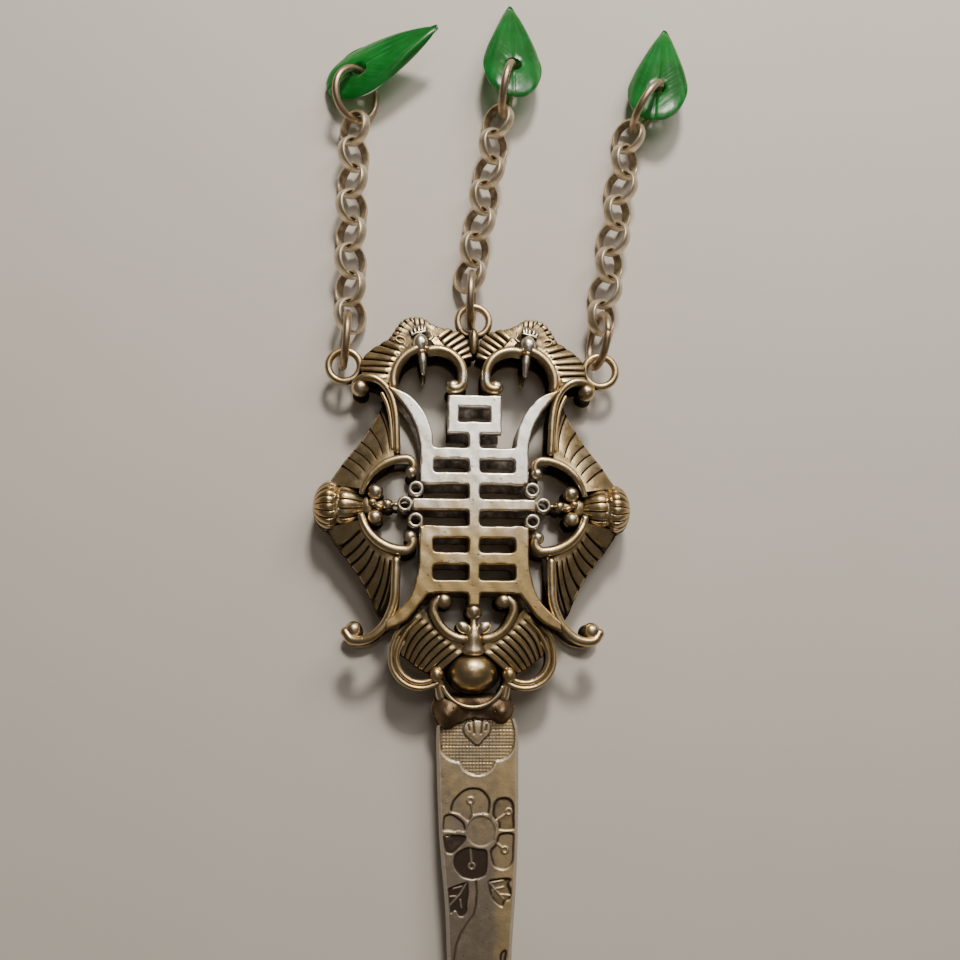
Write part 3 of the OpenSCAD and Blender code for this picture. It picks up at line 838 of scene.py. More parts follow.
@dataclass
class TopBat:
    """Bat at the head's upper right: a beaked head with a crest, between two ribbed wings."""

    outer_wing: Fan = Fan(
        start=(
            (9.5, 24.2), (10.2, 23.4), (10.85, 22.65), (11.36, 21.75), (11.65, 20.85), (12.1, 20.05),
            (12.35, 19.0), (12.45, 17.6),
        ),
        outer=(
            (11.4, 26.0), (12.5, 24.8), (13.75, 23.95), (15.15, 22.95), (16.15, 21.7), (16.42, 20.5),
            (16.3, 19.6), (16.0, 18.2),
        ),
        plane=((14.3, 24.1, 4.9), 50, 24),
        line=0.17, depth=0.5, crown=0.2, scallop=0.08, inset=1.1,
    )
    inner_wing: Fan = Fan(
        start=(
            (2.0, 21.2), (2.42, 21.75), (2.95, 22.35), (3.68, 23.05), (4.42, 23.55), (5.05, 24.3),
            (5.6, 25.0),
        ),
        outer=(
            (0.2, 21.9), (0.5, 22.9), (0.75, 24.0), (1.15, 25.05), (1.85, 25.85), (3.0, 26.3),
            (4.2, 26.6),
        ),
        plane=((1.5, 26.6, 5.2), 115, 17),
        line=0.2, depth=0.5, crown=0.26, scallop=0.0, inset=0.9, cuts=(1, 1, 1, 1, 1, 1, 1),
    )
    crown: Crown = Crown(
        start=(
            (11.9, 23.4), (11.5, 24.0), (11.2, 24.9), (10.6, 25.6), (10.3, 26.3), (9.75, 26.95),
            (9.1, 27.35), (8.6, 26.6), (7.9, 26.7), (7.3, 26.6), (6.7, 26.1), (6.0, 25.5), (5.3, 25.0),
        ),
        outer=(
            (12.85, 23.6), (12.3, 24.35), (12.0, 25.22), (11.6, 25.95), (11.15, 26.75),
            (10.45, 27.65), (9.65, 28.05), (8.9, 28.2), (8.1, 28.22), (7.3, 27.95), (6.4, 27.25),
            (5.4, 26.8), (4.3, 26.5),
        ),
        plane=((8.0, 23.4, 6.55), 0, 0), bend=0.05,
        line=0.22, depth=0.5, crown=0.12, scallop=0.06, inset=3.4, rows=8, dull=0.38,
        cuts=(0, 1, 1, 1, 1, 1, 1, 0.7, 0.7, 0.5, 0, 0, 0),
    )
    tines: tuple = (
        ((9.42, 25.96), (8.98, 25.15)), ((8.86, 26.48), (8.57, 25.4)), ((8.16, 26.62), (8.05, 25.45)),
        ((7.63, 26.76), (7.6, 25.55)), ((7.15, 26.65), (7.26, 25.64)),
    )

    def comb(self) -> list[Surface]:
        """Bright crest above the head: thin tines that rise from a curved base.

        Returns:
            The base and the tines.
        """
        base = spline([(9.05, 24.95, 6.75), (8.5, 25.25, 6.8), (7.8, 25.38, 6.8), (7.15, 25.6, 6.75)], 16)
        made = [tube(base, 0.17, 10).rubbed(0.9)]
        for top, foot in self.tines:
            path = [(*foot, 6.75), ((foot[0] + top[0]) / 2, (foot[1] + top[1]) / 2, 6.68), (*top, 6.4)]
            made.append(tube(path, [0.16, 0.17, 0.13], 10).rubbed(0.9))
        return made

    def whorls(self) -> list[Surface]:
        """Raised thread in an almond on the outer side, and wavy curls on the inner one.

        Returns:
            The threads.
        """
        almond = arc((0, 0), 1, 15, 375, 0, 30)[:, :2] * (0.74, 0.42)
        lean = math.radians(22)
        turned = almond @ np.array([[math.cos(lean), math.sin(lean)], [-math.sin(lean), math.cos(lean)]])
        ring = np.concatenate([turned + (10.72, 24.4), np.full((30, 1), 6.2)], 1)
        curl = [
            (6.6, 24.4, 6.4), (6.1, 24.9, 6.25), (6.35, 25.6, 6.15), (6.0, 26.2, 5.9),
            (5.45, 26.1, 5.85), (5.5, 25.6, 6.0),
        ]
        wave = [(5.6, 24.4, 6.25), (5.1, 24.9, 6.05), (5.0, 25.6, 5.9), (4.5, 26.1, 5.65)]
        threads = [
            tube(ring, 0.17, 10), tube(spline(curl, 30), 0.16, 10), tube(spline(wave, 20), 0.16, 10),
        ]
        return [t.rubbed(-0.2) for t in threads]

    def build(self) -> list[Surface]:
        """Front half of the bat.

        Returns:
            The wings, the crown, the arms, the head, its beak, the crest and the threads.
        """
        z = TUBE_Z
        inner_arm = np.concatenate(
            [arc((5.5, 18.9), 3.85, 74, 178, z, 26), arc((2.85, 18.1), 1.2, 186, 285, z, 10)]
        )
        outer_arm = arc((6.6, 18.0), 5.05, -10, 68, z, 30)
        share = np.linspace(0, 1, len(inner_arm))
        lower = np.array([0, 0, -0.9])
        parts = [
            self.outer_wing.build(),
            self.inner_wing.build(),
            self.crown.build(),
            tube(inner_arm, 0.6 + 0.14 * smooth(0.1, 0.6, share)),
            tube(inner_arm + lower, 0.76, 16),
            tube(outer_arm, np.linspace(0.6, 0.64, 30)),
            tube(outer_arm + lower, 0.74, 16),
            ball((3.1, 17.25, 6.9), (1.12, 1.12, 1.0)).rubbed(0.5),
            ball((7.84, 23.64, 7.0), (1.14, 1.46, 1.0)).rubbed(0.7),
            ball((7.72, 22.4, 6.9), (0.72, 0.8, 0.75)).rubbed(0.3),
            tube(
                [(7.62, 22.2, 6.95), (7.5, 21.3, 6.95), (7.42, 20.2, 6.8), (7.36, 19.3, 6.55)],
                [0.56, 0.66, 0.56, 0.34], 16,
            ),
            ball((0.0, 24.6, 5.2), (0.75, 2.2, 0.75)),
        ]
        return parts + self.comb() + self.whorls()


@dataclass
class BottomBat:
    """Bat at the head's foot: a round body, a small head with ears, and looped wings.

    throat holds the middle and the radius of the rod between the head and the body.
    """

    wing: Fan = Fan(
        start=(
            (1.6, -20.6), (2.35, -20.05), (3.15, -19.35), (3.95, -18.65), (4.75, -18.0), (5.55, -17.3),
            (6.25, -16.5), (7.1, -15.9), (7.7, -15.1),
        ),
        outer=(
            (5.4, -23.9), (6.2, -23.35), (6.9, -22.95), (7.6, -22.55), (8.25, -22.1), (8.85, -21.6),
            (9.5, -21.2), (10.2, -20.6), (10.9, -19.9),
        ),
        plane=((11.0, -18.5, 5.0), -35, 15),
        line=0.15, depth=0.45, crown=0.2, scallop=0.05, inset=1.0, curl=(0.0, 0.75), cuts=(1,) * 9,
    )
    loop_at: tuple = (7.2, -21.2)
    throat: tuple = (
        (0, -15.7, 6.8, 0.42), (0, -16.7, 6.85, 0.5), (0, -17.4, 6.85, 0.78), (0, -18.1, 6.75, 1.08),
        (0, -18.8, 6.65, 1.22), (0, -19.5, 6.5, 1.45), (0, -20.1, 6.35, 1.74),
        (0, -20.5, 6.25, 1.62), (0, -20.85, 6.2, 1.2), (0, -21.0, 6.2, 0.6),
    )

    def half(self) -> list[Surface]:
        """Right half of the bat's front.

        Returns:
            The wing, its looped rim, the hook above it, and small balls and a rod.
        """
        z = 6.9
        tip = [(5.3, -15.6, z), (5.6, -14.8, z), (5.45, -13.9, z), (4.8, -13.2, z)]
        hook = np.concatenate([arc((0.9, -14.1), 4.62, -84, -24, z, 20), spline(tip, 14)])
        rim = np.concatenate(
            [
                spline([(7.9, -15.2, 5.9), (9.7, -16.9, 5.9)], 8),
                spline([(10.7, -18.2, 5.85), (11.25, -20.0, 5.8), (11.3, -21.6, 5.8)], 8),
                arc(self.loop_at, 4.15, -8, -124, 5.8, 30),
            ]
        )
        inner = np.concatenate(
            [
                spline([(7.7, -15.9, 5.95), (9.2, -17.5, 5.95)], 8),
                spline([(10.0, -18.9, 5.9), (10.5, -20.3, 5.85), (10.58, -21.5, 5.8)], 8),
                arc(self.loop_at, 3.38, -8, -122, 5.8, 28),
            ]
        )
        a = np.radians(np.linspace(49, -125, 40))
        out, reach = np.array([3.0, 4.45]), np.array([3.7, 5.55])
        flat = np.array(self.loop_at) + np.stack([np.cos(a), np.sin(a)], 1)[:, None] * out[None, :, None]
        top = np.concatenate([flat, np.full((40, 2, 1), reach[1])], 2)
        bottom = np.concatenate([flat, np.full((40, 2, 1), reach[0])], 2)
        return [
            self.wing.build(),
            slab(top, bottom),
            tube(hook, np.linspace(0.64, 0.7, len(hook))),
            tube(rim, 0.37, 14),
            tube(inner, 0.34, 14),
            ball((4.15, -13.45, 6.75), (1.2, 1.15, 1.12)).rubbed(0.3),
            ball((5.0, -23.5, 5.9), (0.98, 1.1, 0.98)).rubbed(0.15),
            tube([(4.9, -23.9, 5.2), (4.6, -25.2, 5.0), (4.3, -26.4, 4.9)], [0.8, 0.7, 0.8], 16),
            ball((1.45, -17.1, 7.1), (1.08, 0.8, 0.58), turn=35).rubbed(0.5),
        ]

    def build(self) -> list[Surface]:
        """Front half of the bat.

        Returns:
            Both wings, and the head, throat and body between them.
        """
        mouth = arc((0, -23.5), 4.4, 203, 337, 5.75, 36)
        throat = spline(self.throat, 44)
        return both_sides(self.half()) + [
            ball((0, -14.92, 6.8), (1.18, 1.2, 1.1)).rubbed(0.35),
            tube(throat[:, :3], throat[:, 3], 28, 0.85).rubbed(0.35),
            ball((0, -23.15, 5.0), (3.32, 2.75, 2.95), 28, 48).rubbed(0.2),
            ball((0, -22.9, 4.6), (3.9, 3.3, 1.4), 20, 40),
            tube(mouth, 0.3, 12),
            ball((0, -18.2, 5.4), (1.7, 1.5, 0.8)),
        ]


# Height of the head's front


class ReliefMap:
    """Heights of the head's front seen from above, averaged over areas of two sizes."""

    MARGIN = 3
    OPEN_HEIGHT = 4.2
    FINE_SPREAD, WIDE_SPREAD = 0.42, 1.7

    def __init__(self, points: Array, cell: float = 0.22) -> None:
        """Takes the highest point in each cell, and where there is none an open height.

        Args:
            points: points of the front half of the head.
            cell: size of a cell.
        """
        self.cell = cell
        self.low = points[:, :2].min(0) - self.MARGIN
        size = np.ceil((points[:, :2].max(0) + self.MARGIN - self.low) / cell).astype(int) + 1
        grid = np.full(size, -1.0)
        i = np.floor((points[:, :2] - self.low) / cell).astype(int)
        np.maximum.at(grid, (i[:, 0], i[:, 1]), points[:, 2])
        shifts = [(a, b) for a in (-1, 0, 1) for b in (-1, 0, 1)]
        around = np.stack([np.roll(grid, k, (0, 1)) for k in shifts])
        filled = np.where(grid < 0, around.max(0), grid)
        filled = np.where(filled < 0, self.OPEN_HEIGHT, filled)
        self.fine = self.averaged(filled, self.FINE_SPREAD)
        self.wide = self.averaged(filled, self.WIDE_SPREAD)

    def averaged(self, grid: Array, spread: float) -> Array:
        """Averages the grid with a bell curve, through its waves.

        Args:
            grid: the heights.
            spread: the bell curve's spread, in mm.

        Returns:
            The averaged heights.
        """
        waves = [np.fft.fftfreq(n, self.cell) for n in grid.shape]
        keep = [np.exp(-2 * (np.pi * spread * f) ** 2) for f in waves]
        return np.fft.ifft2(np.fft.fft2(grid) * keep[0][:, None] * keep[1][None]).real

    def at(self, grid: Array, points: Array) -> Array:
        """Value of a grid under each point, in proportion between the four nearest cells.

        Args:
            grid: the values.
            points: one point per row.

        Returns:
            One value per point.
        """
        place = (points[:, :2] - self.low) / self.cell - 0.5
        top = np.array(grid.shape) - 2
        k = np.clip(np.floor(place).astype(int), 0, top)
        t = np.clip(place - k, 0, 1)

        def cell(a: int, b: int) -> Array:
            """Values of the cells a further along X and b further along Y."""
            return grid[k[:, 0] + a, k[:, 1] + b]

        near = cell(0, 0) * (1 - t[:, 0]) + cell(1, 0) * t[:, 0]
        far = cell(0, 1) * (1 - t[:, 0]) + cell(1, 1) * t[:, 0]
        return near * (1 - t[:, 1]) + far * t[:, 1]

    def shade(self, surface: Surface) -> tuple[Array, Array]:
        """How much patina and painted shade, and how much wear, each point gets.

        A point gets patina and painted shade where it lies under the average height round it
        or in a cut line, and painted shade on a face that looks at the middle of the head.
        It is rubbed bright with wear where it stands above the average round it.

        Args:
            surface: the piece.

        Returns:
            Two values per point, each from 0 to 1.
        """
        points = surface.points.copy()
        facing = normals(surface)[:, 2]
        back = points[:, 2] < MID_Z
        points[back, 2] = HEAD_T - points[back, 2]
        facing = np.where(back, -facing, facing)
        fine = self.at(self.fine, points) - points[:, 2]
        wide = self.at(self.wide, points) - points[:, 2]
        # Faces that look into the head get painted shade.
        inner = smooth(0.15, -0.45, facing)
        cut = np.maximum(surface.cut, 0)
        # Patina and painted shade under the average height round a point and in cut lines.
        shade_patina_streaks = 1 - (1 - cut) * (1 - smooth(0.1, 0.75, fine)) * (1 - 0.8 * smooth(0.2, 2.2, wide))
        shade_patina_streaks = np.maximum(shade_patina_streaks, inner * smooth(-1.6, 0.3, wide))
        wear_and_sheen = 0.85 * smooth(0.12, 0.85, -fine) * (1 - cut) * smooth(-0.2, 0.5, facing)
        rubbed = np.maximum(-surface.cut, 0) * smooth(-0.3, 0.5, facing)
        return shade_patina_streaks * (1 - 0.7 * rubbed), np.maximum(wear_and_sheen, rubbed)


def normals(surface: Surface) -> Array:
    """Direction that each point faces: the mean of its faces' directions, by area.

    Args:
        surface: the skin.

    Returns:
        One direction of length 1 per point.
    """
    quads, tris, p = surface.quads, surface.tris, surface.points
    across = np.cross(p[quads[:, 2]] - p[quads[:, 0]], p[quads[:, 3]] - p[quads[:, 1]])
    flat = np.cross(p[tris[:, 1]] - p[tris[:, 0]], p[tris[:, 2]] - p[tris[:, 0]])
    total = np.zeros_like(p)
    for k in range(4):
        np.add.at(total, quads[:, k], across)
    for k in range(3):
        np.add.at(total, tris[:, k], flat)
    return unit(total)


# Blade


@dataclass
class Blade:
    """Flat tapering blade with thin bevels and a stamped flower.

    stations holds, for places along the blade, the middle and the half width. Each panel
    is the outline of an area that is stamped down; threads stand up again within them.
    The blade begins at start_y, its rows lie close together within dense_y, and it narrows
    to a round point from round_y to tip_y. bloom is the flower's disc, weave the pitch of
    the woven ground, stem_half half the stem's width, stamen_r the radius of a stamen's
    head, thread_w the width of a thread, and far a distance that no thread reaches.
    """

    thickness: float = 1.4
    bevel: float = 0.4
    depth: float = 0.2
    stations: tuple = (
        (-29.4, 0.7, 5.2), (-30.8, 0.7, 5.62), (-33.0, 0.73, 5.66), (-40.0, 0.86, 5.5),
        (-45.0, 0.93, 5.32), (-48.5, 1.02, 5.1), (-52.3, 1.12, 4.8), (-55.5, 1.12, 4.55),
        (-59.4, 1.06, 4.32), (-134.6, 2.05, 1.4),
    )
    start_y: float = -29.4
    dense_y: tuple = (-30.8, -62.5)
    round_y: float = -134.6
    tip_y: float = -135.96
    lobes: tuple = (
        ((-4.5, -32.3), (-4.3, -33.66), (-3.78, -34.48), (-2.94, -35.09), (-1.84, -35.34)),
        (
            (-1.75, -35.4), (-1.53, -35.7), (-1.05, -36.41), (-0.22, -36.91), (0.78, -37.07),
            (1.77, -36.92), (2.61, -36.31), (3.1, -35.5), (3.25, -35.2),
        ),
        ((3.35, -35.15), (4.19, -35.0), (5.14, -34.39), (5.7, -33.47), (5.95, -32.4)),
    )
    panels: tuple = (
        (
            (-2.95, -41.75), (-2.7, -40.42), (-1.87, -39.42), (-0.84, -38.73), (0.31, -38.58),
            (1.36, -38.83), (2.19, -39.64), (2.55, -40.55), (2.35, -42.0), (1.78, -42.12),
            (0.94, -42.08), (0.11, -42.33), (-0.51, -43.02), (-1.75, -42.1),
        ),
        (
            (2.78, -42.4), (2.8, -41.3), (2.95, -40.65), (3.45, -40.05), (4.39, -39.85), (5.2, -40.05),
            (5.7, -40.66), (5.85, -41.66), (5.85, -42.76), (5.75, -44.1), (3.75, -44.16), (3.5, -43.3),
        ),
        (
            (-4.0, -43.0), (-3.75, -42.25), (-2.89, -42.02), (-1.96, -42.42), (-1.02, -43.25),
            (-0.98, -44.3), (-2.88, -44.35), (-3.95, -44.2),
        ),
        (
            (3.75, -44.6), (5.72, -44.63), (5.8, -46.46), (5.75, -47.74), (5.5, -48.53), (4.95, -49.11),
            (4.16, -49.35), (3.33, -49.14), (2.82, -48.7), (2.51, -47.71), (2.45, -46.75),
            (3.15, -45.95),
        ),
        (
            (-3.85, -44.85), (-1.0, -44.85), (-0.9, -45.6), (-1.83, -46.6), (-2.55, -47.2),
            (-3.15, -47.2), (-3.6, -46.78),
        ),
        (
            (-0.6, -46.35), (-2.1, -47.1), (-2.5, -47.97), (-2.33, -49.05), (-1.5, -50.1),
            (-0.58, -50.48), (0.35, -50.56), (1.37, -50.3), (1.94, -49.77), (2.14, -48.4), (2.0, -46.8),
            (0.75, -46.55),
        ),
        (
            (-0.8, -50.8), (-3.15, -51.6), (-3.15, -52.3), (-2.95, -54.1), (-2.75, -54.8),
            (-2.19, -54.5), (-1.68, -55.16), (-1.07, -55.17), (-0.6, -54.5), (-0.6, -53.7),
            (-0.4, -52.3), (-0.47, -50.95),
        ),
        (
            (2.2, -50.65), (3.64, -50.35), (4.95, -50.3), (5.4, -50.65), (5.1, -51.2), (5.4, -52.1),
            (5.2, -53.05), (4.6, -53.4), (4.15, -54.07), (3.43, -53.77), (2.61, -52.89), (2.2, -51.53),
        ),
        ((3.7, -60.2), (4.0, -59.6), (4.5, -59.4), (4.75, -59.9), (4.4, -61.3), (3.8, -61.5)),
    )
    tones: tuple = (0.3, 0.5, 0.25, 0.35, 0.7, 0.8, 0.95, 0.5, 0.4)
    bloom: tuple = ((1.21, -44.33), 2.0)
    weave: tuple = (0.46, 0.44)
    stem_half: float = 0.16
    stamen_r: float = 0.38
    thread_w: float = 0.14
    far: float = 9.0
    stamens: tuple = (
        ((-0.2, -40.33), (0.15, -42.2)), ((5.0, -41.81), (3.29, -42.95)),
        ((-3.35, -44.69), (-1.0, -44.56)), ((4.47, -46.79), (3.0, -45.6)),
        ((-0.02, -48.82), (-0.2, -46.45)),
    )
    veins: tuple = (
        ((-0.68, -50.92), (-1.49, -52.27)), ((-1.49, -52.27), (-3.0, -53.9)),
        ((-1.4, -51.4), (-2.5, -51.68)), ((-2.15, -52.65), (-3.0, -52.69)),
        ((-1.55, -53.1), (-1.38, -54.1)), ((2.2, -50.8), (3.02, -51.73)),
        ((3.02, -51.73), (4.2, -53.0)), ((2.65, -50.97), (4.15, -50.72)),
        ((3.3, -51.73), (4.25, -51.55)), ((2.81, -51.92), (2.86, -52.6)), ((3.9, -52.5), (5.1, -52.6)),
    )
    stem: tuple = (
        (0.55, -50.8), (0.66, -52.29), (0.56, -53.74), (0.26, -54.99), (-0.76, -56.33), (-1.57, -57.56),
        (-2.1, -58.99), (-2.35, -60.58), (-2.4, -62.0),
    )
    tulip: tuple = (
        (-1.05, -31.3), (-0.35, -32.1), (0.72, -32.9), (1.5, -32.15), (2.3, -31.35), (2.4, -30.5),
        (2.05, -29.95), (1.5, -29.9), (0.75, -29.7), (0.0, -29.9), (-0.6, -29.95), (-1.05, -30.5),
    )
    slits: tuple = (
        ((0.1, -29.6), (0.25, -31.4)), ((1.4, -29.6), (1.2, -31.4)), ((-0.55, -30.3), (-0.4, -31.0)),
        ((2.0, -30.3), (1.85, -31.0)),
    )

    def outline(self, y: Array) -> tuple[Array, Array]:
        """Middle and half width of the blade, with a round point.

        Args:
            y: places along the blade.

        Returns:
            The middle and the half width at each place.
        """
        s = np.array(self.stations)[::-1]
        middle, half = np.interp(y, s[:, 0], s[:, 1]), np.interp(y, s[:, 0], s[:, 2])
        past = np.clip((self.round_y - y) / (self.round_y - self.tip_y), 0, 1)
        return middle, half * np.sqrt(np.maximum(1 - past**2, 0.0004))

    def stamp(self, x: Array, y: Array) -> tuple[Array, Array]:
        """Stamped relief on the face.

        The height is -depth inside a panel and 0 outside, with a sloping wall between.
        A wall's foot gets patina and painted shade and its rim is rubbed bright with a painted
        highlight; the highlight is stronger and the shade weaker on the sides that face the blade's
        point, whose walls look towards the lamps. Threads are bell curves of the distance to a line or
        ring. The top panel carries a woven grain of small pads. Each panel is darkened by its own
        amount, more towards the lower left.

        Args:
            x: places across the blade.
            y: places along it.

        Returns:
            The height over the plain face, and the cut value of each place.
        """
        above = [(5.95, -28.0), (-4.5, -28.0)]
        ground = np.concatenate([spline(lobe, 20) for lobe in self.lobes] + [above])
        top = shape_distance(x, y, ground)
        tulip = shape_distance(x, y, closed_spline(self.tulip, 72))
        each = [shape_distance(x, y, closed_spline(p, 64)) for p in self.panels]
        near = np.minimum.reduce(each)
        tone = np.maximum.reduce([k * smooth(0.02, -0.25, d) for k, d in zip(self.tones, each)])
        disc = np.hypot(x - self.bloom[0][0], y - self.bloom[0][1]) - self.bloom[1]
        stem = [segment_distance(x, y, p, q) for p, q in zip(self.stem[:-1], self.stem[1:])]
        slot = np.minimum.reduce(stem) - self.stem_half
        woven = np.maximum(top, -tulip)
        all_of = np.minimum.reduce([woven, near, slot])
        floor = smooth(0.02, -0.2, all_of)
        height = -self.depth * floor - 0.07 * smooth(0.02, -0.16, disc)
        weft, warp = self.weave
        pads = np.abs(np.sin(np.pi * x / weft) * np.sin(np.pi * (y + 0.1) / warp)) ** 0.6
        height += 0.07 * pads * smooth(-0.1, -0.3, woven)
        split = thread(np.minimum.reduce([segment_distance(x, y, a, b) for a, b in self.slits]), 0.12)
        height += 0.06 * smooth(-0.1, -0.7, tulip) - 0.12 * split
        lifted = np.full_like(x, self.far)
        for (cx, cy), foot in self.stamens:
            r = np.hypot(x - cx, y - cy)
            line = np.where(r > self.stamen_r, segment_distance(x, y, (cx, cy), foot), self.far)
            lifted = np.minimum(lifted, np.minimum(np.abs(r - self.stamen_r), line))
        for a, b in self.veins:
            lifted = np.minimum(lifted, segment_distance(x, y, a, b))
        lift = thread(lifted, self.thread_w) * floor
        height += 0.1 * lift
        # lit_side: the panels' sides towards the blade's point, whose walls face the lamps.
        along = np.gradient(all_of, axis=0) / np.minimum(np.gradient(y, axis=0), -1e-6)
        lit_side = np.clip(-along, 0, 1)
        edge_of = np.minimum(near, slot)
        # Painted highlight and wear on rims, strongest on the lit side.
        rim = thread(woven - 0.1, 0.1) * (0.3 + 0.7 * lit_side)
        rim += 0.3 * thread(edge_of - 0.1, 0.1) * lit_side
        rim += 0.3 * thread(disc - 0.08, 0.1) + 0.2 * lift
        # Patina and painted shade at wall feet, weaker on the lit side, plus the panels' tones, the
        # slits, the woven grain and the disc's foot.
        patina_and_shade = 0.6 * thread(all_of + 0.14, 0.2) * (1 - 0.7 * lit_side) + tone + 0.8 * split
        patina_and_shade += (0.35 - 0.55 * pads) * smooth(-0.1, -0.3, woven) + 0.4 * thread(disc + 0.1, 0.12)
        return height, np.clip(patina_and_shade * (1 - lift), 0, 1) - np.clip(rim, 0, 1)

    def build(self) -> Surface:
        """The blade as a function of its width and its length.

        Across, a point lies at middle + half width times a share from -1 to 1; within the
        bevel the faces fall towards the edge. The rows lie close together where the
        flower is.

        Returns:
            The closed blade.
        """
        first, last = self.dense_y
        point = (self.tip_y - self.round_y) * np.sin(np.linspace(0, np.pi / 2, 10)[1:])
        y = np.concatenate(
            [
                np.linspace(self.start_y, first, 12)[:-1],
                np.linspace(first, last, 318),
                np.linspace(last, self.round_y, 40)[1:],
                self.round_y + point,
            ]
        )
        middle, half = self.outline(y)
        edge = np.minimum(self.bevel, half * 0.3)
        share = np.concatenate([[-1.0], np.linspace(-1, 1, 112), [1.0]])
        x = middle[:, None] + share * (half - edge)[:, None]
        x[:, 0], x[:, -1] = middle - half, middle + half
        gy = np.repeat(y[:, None], x.shape[1], 1)
        fall = np.zeros_like(x)
        fall[:, [0, -1]] = 0.4
        height, cut = self.stamp(x, gy)
        inwards = (half - edge)[:, None] * (1 - np.abs(share))
        clear = smooth(0.0, 0.25, inwards) * smooth(-62.4, -61.6, gy)
        face = MID_Z + self.thickness / 2
        wave = 0.012 * np.sin(0.35 * gy + 0.5) + 0.008 * np.sin(0.9 * gy + 0.8 * x)
        bevels = np.isclose(np.abs(share), 1)
        cut = np.where(bevels, -0.7, cut * clear)
        top = np.stack([x, gy, face + np.where(bevels, 0, height * clear) - fall + wave], -1)
        bottom = np.stack([x, gy, 2 * MID_Z - face + fall], -1)
        return slab(top, bottom, cut)


@dataclass
class SolderJoint:
    """Solder that has run between the head and the blade.

    lumps holds the middle, the spread and the height of each swelling.
    """

    lumps: tuple = (
        ((-3.5, -28.6), (1.9, 1.9), 1.5), ((4.1, -28.5), (1.4, 1.25), 1.35),
        ((1.0, -27.2), (2.4, 1.1), 0.55),
        ((5.2, -30.1), (0.7, 0.55), -0.45), ((3.4, -29.6), (0.5, 0.45), 0.3),
    )
    top_y: float = -25.9

    def build(self) -> Surface:
        """Front half of the solder, as a function of u across and v along.

        The half width is 5.05 mm plus a bell curve along the blade, and the lower rim hangs
        lower at two lumps. The height is a thin base plus a bell curve per swelling and a
        few slow waves, and it closes to the middle plane at the rim.

        Returns:
            The closed skin.
        """
        u, v = np.meshgrid(np.linspace(-1, 1, 91), np.linspace(0, 1, 61), indexing="ij")
        flat_y = -31.0 + 5.0 * v
        half = 5.05 + 0.75 * thread(flat_y + 28.6, 1.7)
        x = 0.1 + half * u
        low = -29.75 - 1.35 * thread(x + 3.3, 1.7) - 0.6 * thread(x - 3.9, 1.1)
        low += 0.1 * np.sin(2.3 * x + 1) + 0.06 * np.sin(5.1 * x)
        y = low + (self.top_y - low) * v
        rise = 1.0 + 0.08 * np.sin(1.7 * x + 0.6 * y) * np.sin(1.9 * y + 1)
        rise = rise + 0.025 * np.sin(4.1 * x) * np.sin(3.7 * y)
        for (cx, cy), (sx, sy), tall in self.lumps:
            rise = rise + tall * np.exp(-(((x - cx) / sx) ** 2) - ((y - cy) / sy) ** 2)
        closing = (1 - u**8) * smooth(0, 0.12, v) * smooth(1.0, 0.8, v)
        top = MID_Z - 0.3 + (rise + 0.3) * np.sqrt(np.maximum(closing, 0.0))
        bottom = np.full_like(top, MID_Z - 0.45)
        shade = np.clip(0.35 - 0.4 * (rise - 1.2), 0, 0.6)
        return slab(np.stack([x, y, top], -1), np.stack([x, y, bottom], -1), shade)


# Chains


class Side(Enum):
    """The three places that a chain hangs from."""

    LEFT = "left"
    CENTRE = "centre"
    RIGHT = "right"


@dataclass(frozen=True)
class ChainLie:
    """How one chain lies: its links, its two rings and its leaf.

    The links begin at first and run along heading, which turns by turn degrees per link;
    each leans by lean degrees, to alternate sides. jump and drop hold a ring's middle, its
    heading and its lean, leaf the place of its hole and three turns, and jump_cut where
    the jump ring's ends meet and how wide their gap is.
    """

    heading: float
    turn: float
    first: tuple
    count: int
    lean: float
    jump: tuple
    drop: tuple
    leaf: tuple
    jump_cut: tuple


DROP_CUT = (200.0, 0.06)
CHAINS = {
    Side.LEFT: ChainLie(
        91.5, -0.4, (-18.25, 29.15), 8, 45,
        ((-18.8, 24.7), 87.5, 6), ((-18.25, 64.8), 77.5, -47),
        ((-17.5, 68.6, 3.35), 27, -16, -18), (250.0, 0.06)),
    Side.CENTRE: ChainLie(
        80.5, 0, (-0.45, 35.95), 7, -45,
        ((-0.3, 31.4), 88, -6), ((5.15, 66.0), 77.5, -8),
        ((6.0, 69.8, 4.2), 90, 16, 5), (235.0, 0.06)),
    Side.RIGHT: ChainLie(
        80.7, 0, (19.5, 29.85), 8, 45,
        ((18.65, 25.5), 84.5, 10), ((27.0, 64.0), 55.5, -8),
        ((28.9, 66.9, 3.95), 79.5, 15, -14), (85.0, 0.35)),
}


def turn_about(axis: int, degrees: float) -> Array:
    """Matrix that turns by an angle about one axis.

    Args:
        axis: 0, 1 or 2 for X, Y or Z.
        degrees: the angle.

    Returns:
        The 3 x 3 matrix.
    """
    a = math.radians(degrees)
    i, j = [(1, 2), (2, 0), (0, 1)][axis]
    m = np.eye(3)
    m[i, i] = m[j, j] = math.cos(a)
    m[i, j], m[j, i] = -math.sin(a), math.sin(a)
    return m


